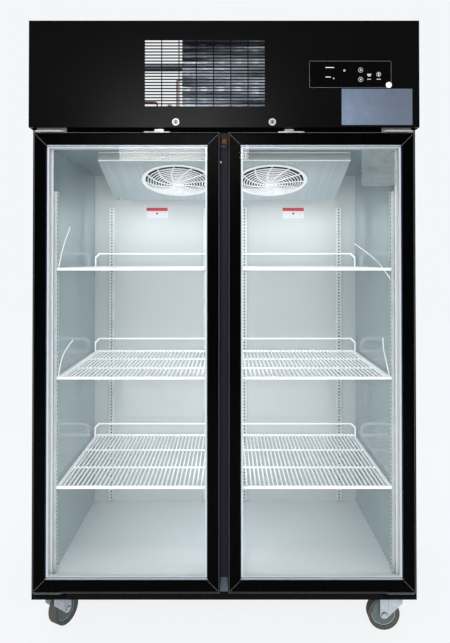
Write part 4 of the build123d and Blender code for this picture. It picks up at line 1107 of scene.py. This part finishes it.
class FRIDGE_OT_header_trims(bpy.types.Operator):
    """Add the foil plate, the white cap, the roof's upstand, the panel's marks and the lock faces"""

    bl_idname = "refrigerator.header_trims"
    bl_label = "Header trims"

    def execute(self, context):
        plate = add_plate(
            left=0.361, right=0.578, foot=1.592, top=1.7035, face=HEADER_Y, depth=0.0008, edge=0.0002)
        dress(plate, "bare_foil_plate", "cabinet", foil_plate())
        cap_depth = 0.003
        cap_place = (0.5056, CAD_BOX[0][1] + cap_depth / 2, 1.7148)
        cap = add_disc(cap_place, radius=0.0094, depth=cap_depth, sides=40, edge=0.001)
        dress(cap, "white_cap", "cabinet", bpy.data.materials["guard_white"])
        sheet = 0.0012
        half_roof = 0.598
        upstand_top = ROOF_Z + 0.014
        upstand = add_plate(-half_roof, half_roof, ROOF_Z, upstand_top, FACE_Y + sheet, sheet)
        dress(upstand, "roof_upstand", "cabinet", bpy.data.materials["black_steel"])
        self.panel_marks()
        self.lock_faces()
        return {"FINISHED"}

    def panel_marks(self):
        """A silver line round the control panel, and plain bars and rings for its keys."""
        low, high = corners("control_panel")
        front = low.y
        print_depth = 0.0002
        silver = plain("silver_line", linear(140, 142, 144), 0.45)
        white = plain("mark_white", linear(236, 237, 240), 0.5)

        inset = 0.003
        corner = 0.004
        line = 0.0006
        rim = []
        for left, right, foot, top in (
            (low.x + corner, high.x - corner, high.z - inset, high.z - inset + line),
            (low.x + corner, high.x - corner, low.z + inset - line, low.z + inset),
            (low.x + inset - line, low.x + inset, low.z + corner, high.z - corner),
            (high.x - inset, high.x - inset + line, low.z + corner, high.z - corner),
        ):
            rim.append(add_plate(left, right, foot, top, front, print_depth))
        dress(join(rim), "panel_outline", "cabinet", silver)

        bars_x = 0.4453
        sign_x = 0.4744
        sign_z = 1.7475
        marks = []
        for x, z, width, height in (
            (0.3246, 1.7685, 0.026, 0.0022), (0.3195, 1.7391, 0.016, 0.0022),
            (0.3366, 1.7348, 0.003, 0.003), (0.3694, 1.7612, 0.006, 0.0018),
            (0.3694, 1.7574, 0.006, 0.0018), (0.3672, 1.7593, 0.0018, 0.005),
            (bars_x, sign_z, 0.013, 0.0025), (bars_x, 1.7429, 0.009, 0.0025),
            (sign_x, sign_z, 0.003, 0.008), (bars_x, 1.7325, 0.011, 0.0015),
            (sign_x, 1.7325, 0.013, 0.0015),
        ):
            foot, top = z - height / 2, z + height / 2
            marks.append(add_plate(x - width / 2, x + width / 2, foot, top, front, print_depth))
        marks.append(add_ring((sign_x, front - print_depth, sign_z), radius=0.0062, thickness=0.0006))
        key_x = 0.4193
        for z, turn in ((1.7608, 0.0), (1.7317, math.pi)):
            marks.append(add_ring((key_x, front - print_depth, z), radius=0.0068, thickness=0.0005))
            arrow_place = (key_x, front - print_depth / 2, z)
            marks.append(add_disc(arrow_place, 0.0035, 0.0003, turn=(math.pi / 2, turn, 0.0), sides=3))
        dress(join(marks), "panel_marks", "cabinet", white)

    def lock_faces(self):
        """The turned rim of each lock, and its key slot as a dark plate of painted shade."""
        rim_flatness = 0.1
        half_width = 0.0011
        half_height = 0.0042
        inside = 0.0004
        proud = 0.0001
        dull = plain("lock_face_grey", linear(120, 120, 120), 0.4)
        # Painted shade: a dark plate where the key slot is.
        dark = plain("key_slot_shade", linear(12, 12, 12), 0.6)
        for side in SIDES:
            middle = Vector(JOINTS[f"{side}_lock_turn"]["pos_m"])
            middle.y = corners(f"{side}_lock")[0].y
            rim = add_ring(middle, radius=0.0066, thickness=0.0009, sides=40, wire_sides=8)
            flatten(rim, Vector((0.0, 1.0, 0.0)), middle, rim_flatness)
            dress(rim, f"{side}_lock_rim", "cabinet", dull)
            left, right = middle.x - half_width, middle.x + half_width
            foot, top = middle.z - half_height, middle.z + half_height
            slot = add_plate(left, right, foot, top, middle.y + inside, inside + proud)
            dress(slot, f"{side}_key_slot", f"{side}_lock", dark)


class FRIDGE_OT_door_trims(bpy.types.Operator):
    """Add the film on the right pane, painted highlight lines at the doors' mitres and bevels, the hinge
    screws and the strikes' lips
    """

    bl_idname = "refrigerator.door_trims"
    bl_label = "Door trims"

    def execute(self, context):
        glass_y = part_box("right_door_glass")[0][1]
        film = add_plate(left=0.423, right=0.533, foot=1.405, top=1.5215, face=glass_y, depth=0.0003)
        dress(film, "pane_film", "right_door", clear_film())
        self.mitres()
        self.hinge_screws()
        self.strike_lips()
        return {"FINISHED"}

    def mitres(self):
        """Hairlines of painted highlight where two bars of a door frame meet and along the frame's bevels.
        """
        seen_past_glass = 0.012
        bevel = 0.006
        line = 0.0008
        proud = 0.00015
        inset = 0.003
        # Painted highlights: the frame's mitres and bevel edges drawn as light hairlines.
        bright = plain("frame_edge_highlight", linear(112, 112, 112), 0.5)
        for side in SIDES:
            low, high = corners(f"{side}_door_frame")
            seen = corners(f"{side}_door_glass")[0].x - low.x + seen_past_glass
            half_length = (seen - bevel) * math.sqrt(2) / 2
            middle = (seen + bevel) / 2
            lines = []
            for corner_x, way_x in ((low.x, 1), (high.x, -1)):
                for corner_z, way_z in ((low.z, 1), (high.z, -1)):
                    mitre = add_plate(-half_length, half_length, -line / 2, line / 2, 0.0, proud)
                    turn = Matrix.Rotation(-way_x * way_z * math.pi / 4, 4, "Y")
                    place = Vector((corner_x + way_x * middle, DOOR_Y, corner_z + way_z * middle))
                    mitre.data.transform(Matrix.Translation(place) @ turn)
                    lines.append(mitre)
            for z in (low.z + line, high.z - 2 * line):
                lines.append(add_plate(low.x + 0.001, high.x - 0.001, z, z + line, DOOR_Y, proud))
            for x in (low.x + inset, high.x - inset - line):
                lines.append(add_plate(x, x + line, low.z, high.z, DOOR_Y, proud))
            dress(join(lines), f"{side}_frame_edge_highlights", f"{side}_door", bright)

    def hinge_screws(self):
        """Two screws in each hinge plate above the doors."""
        screw_y = FACE_Y - 0.0055
        screw_z = 1.592
        screws = []
        for side in SIDES.values():
            for x in (0.512, 0.548):
                place = (side * x, screw_y, screw_z)
                screws.append(add_disc(place, radius=0.006, depth=0.003, edge=0.001))
        dress(join(screws), "hinge_screws", "cabinet", bpy.data.materials["zinc_plate"])

    def strike_lips(self):
        """Upturned front lip of each lock strike."""
        lip_height = 0.0055
        plated = bpy.data.materials["hinge_metal"]
        for side in SIDES:
            low, high = corners(f"{side}_lock_strike")
            lip = add_plate(low.x, high.x, low.z, low.z + lip_height, low.y, depth=0.001, edge=0.0003)
            dress(lip, f"{side}_strike_lip", f"{side}_door", plated)


class FRIDGE_OT_studio(bpy.types.Operator):
    """Set up the floor, the lights and the camera"""

    bl_idname = "refrigerator.studio"
    bl_label = "Studio"

    def execute(self, context):
        self.floor()
        self.world()
        self.lights()
        self.camera()
        context.scene.view_settings.view_transform = "Standard"
        context.scene.cycles.transparent_max_bounces = 32
        return {"FINISHED"}

    def floor(self):
        """A pale floor that runs into the backdrop and keeps the object's shadow."""
        floor_size = 16.0
        floor_middle = (0.0, 2.0, 0.0)
        backdrop_share = 0.86
        deselect_all()
        bpy.ops.mesh.primitive_plane_add(size=floor_size, location=floor_middle)
        floor = bpy.context.object
        floor.name = "studio_floor"
        material = bpy.data.materials.new("studio_floor")
        material.use_nodes = True
        tree = material.node_tree
        tree.nodes.clear()
        lit = add_node(tree, "ShaderNodeBsdfDiffuse", {}, {"Color": (0.8, 0.81, 0.83, 1.0)})
        pale = add_node(tree, "ShaderNodeEmission", {}, {"Color": (*linear(252, 253, 255), 1.0)})
        seen = add_node(tree, "ShaderNodeLightPath", {}, {}, "Is Camera Ray")
        share = add_node(tree, "ShaderNodeMath", {"operation": "MULTIPLY"}, {0: seen, 1: backdrop_share})
        both = add_node(tree, "ShaderNodeMixShader", {}, {0: share, 1: lit, 2: pale})
        add_node(tree, "ShaderNodeOutputMaterial", {}, {"Surface": both})
        floor.data.materials.append(material)

    def world(self):
        """Soft light from all round, weaker where something mirrors it, behind a pale backdrop."""
        sky = (0.97, 0.99, 1.0)
        world = bpy.data.worlds.new("studio")
        world.use_nodes = True
        tree = world.node_tree
        tree.nodes.clear()
        light = self.backdrop(tree, sky, 0.7)
        for ray, colour, strength in (
            ("Is Glossy Ray", sky, 0.26), ("Is Camera Ray", linear(244, 246, 249), 1.0),
        ):
            seen = add_node(tree, "ShaderNodeLightPath", {}, {}, ray)
            other = self.backdrop(tree, colour, strength)
            light = add_node(tree, "ShaderNodeMixShader", {}, {0: seen, 1: light, 2: other})
        add_node(tree, "ShaderNodeOutputWorld", {}, {"Surface": light})
        bpy.context.scene.world = world

    @staticmethod
    def backdrop(tree, colour, strength):
        return add_node(tree, "ShaderNodeBackground", {}, {"Color": (*colour, 1.0), "Strength": strength})

    def lights(self):
        """Lamps before, inside and above the cabinet, each with its tilt up from facing down."""
        self.lamp("front_fill", (0.0, -3.0, 1.3), 90, (2.4, 1.6), 48.0)
        self.lamp("header_sheen", (-0.3, -2.6, 2.05), 70, (0.9, 0.35), 9.0, mirrored=True)
        self.lamp("mullion_strip", (0.0, FACE_Y + 0.056, 0.85), 90, (0.02, 1.0), 1.5)
        for side, way in SIDES.items():
            bay_x = way * 0.28
            self.lamp(f"{side}_bay", (bay_x, -0.25, 1.3), 86, (0.4, 0.1), 0.25)
            self.lamp(f"{side}_rear_wash", (bay_x, 0.1, 1.33), 76, (0.42, 0.06), 0.46)
        self.lamp("louvre_light", (0.05, HEADER_Y + 0.02, 1.71), 90, (0.4, 0.16), 0.42)
        self.lamp("roof_light", (-0.2, 0.2, 2.6), 0, (0.9, 0.9), 12.0)

    @staticmethod
    def lamp(name, place, tilt, size, power, mirrored=False):
        data = bpy.data.lights.new(name, "AREA")
        data.shape = "RECTANGLE"
        data.size, data.size_y = size
        data.energy = power
        lamp = bpy.data.objects.new(name, data)
        lamp.location = place
        lamp.rotation_euler = (math.radians(tilt), 0.0, 0.0)
        lamp.visible_camera = False
        lamp.visible_glossy = mirrored
        bpy.context.scene.collection.objects.link(lamp)

    def camera(self):
        """The photograph's view: its frame and the camera that was fitted to it, in pixels and metres."""
        image_width = 450.0
        image_height = 643.0
        focal = 594.7
        middle_column = 228.73
        middle_row = 254.21
        sensor = 36.0
        place = (0.0144, FACE_Y - 1.8642, 1.1742)
        tilt = math.pi / 2 + 0.0117
        data = bpy.data.cameras.new("photo_camera")
        data.sensor_fit = "VERTICAL"
        data.sensor_height = sensor
        data.lens = focal / image_height * sensor
        data.shift_x = (image_width / 2 - middle_column) / image_height
        data.shift_y = (middle_row - image_height / 2) / image_height
        data.clip_end = 50.0
        camera = bpy.data.objects.new("photo_camera", data)
        camera.location = place
        camera.rotation_euler = (tilt, 0.0, 0.0)
        bpy.context.scene.collection.objects.link(camera)
        bpy.context.scene.camera = camera


class FRIDGE_PT_sidebar(bpy.types.Panel):
    """The refrigerator's steps and its sizes and colours"""

    bl_idname = "FRIDGE_PT_sidebar"
    bl_label = "Display refrigerator"
    bl_space_type = "VIEW_3D"
    bl_region_type = "UI"
    bl_category = "Refrigerator"

    def draw(self, context):
        for name in RefrigeratorLook.__annotations__:
            self.layout.prop(context.scene.refrigerator_look, name)
        for operator in OPERATORS:
            self.layout.operator(operator.bl_idname)


OPERATORS = (
    FRIDGE_OT_finishes,
    FRIDGE_OT_fan_guards,
    FRIDGE_OT_interior_trims,
    FRIDGE_OT_condenser_face,
    FRIDGE_OT_tubes,
    FRIDGE_OT_header_trims,
    FRIDGE_OT_door_trims,
    FRIDGE_OT_studio,
)
CLASSES = (RefrigeratorLook, *OPERATORS, FRIDGE_PT_sidebar)


def register():
    for item in CLASSES:
        bpy.utils.register_class(item)
    bpy.types.Scene.refrigerator_look = bpy.props.PointerProperty(type=RefrigeratorLook)


def unregister():
    del bpy.types.Scene.refrigerator_look
    for item in reversed(CLASSES):
        bpy.utils.unregister_class(item)


def main():
    register()
    bpy.ops.refrigerator.finishes()
    bpy.ops.refrigerator.fan_guards()
    bpy.ops.refrigerator.interior_trims()
    bpy.ops.refrigerator.condenser_face()
    bpy.ops.refrigerator.tubes()
    bpy.ops.refrigerator.header_trims()
    bpy.ops.refrigerator.door_trims()
    bpy.ops.refrigerator.studio()


if __name__ == "__main__":
    main()
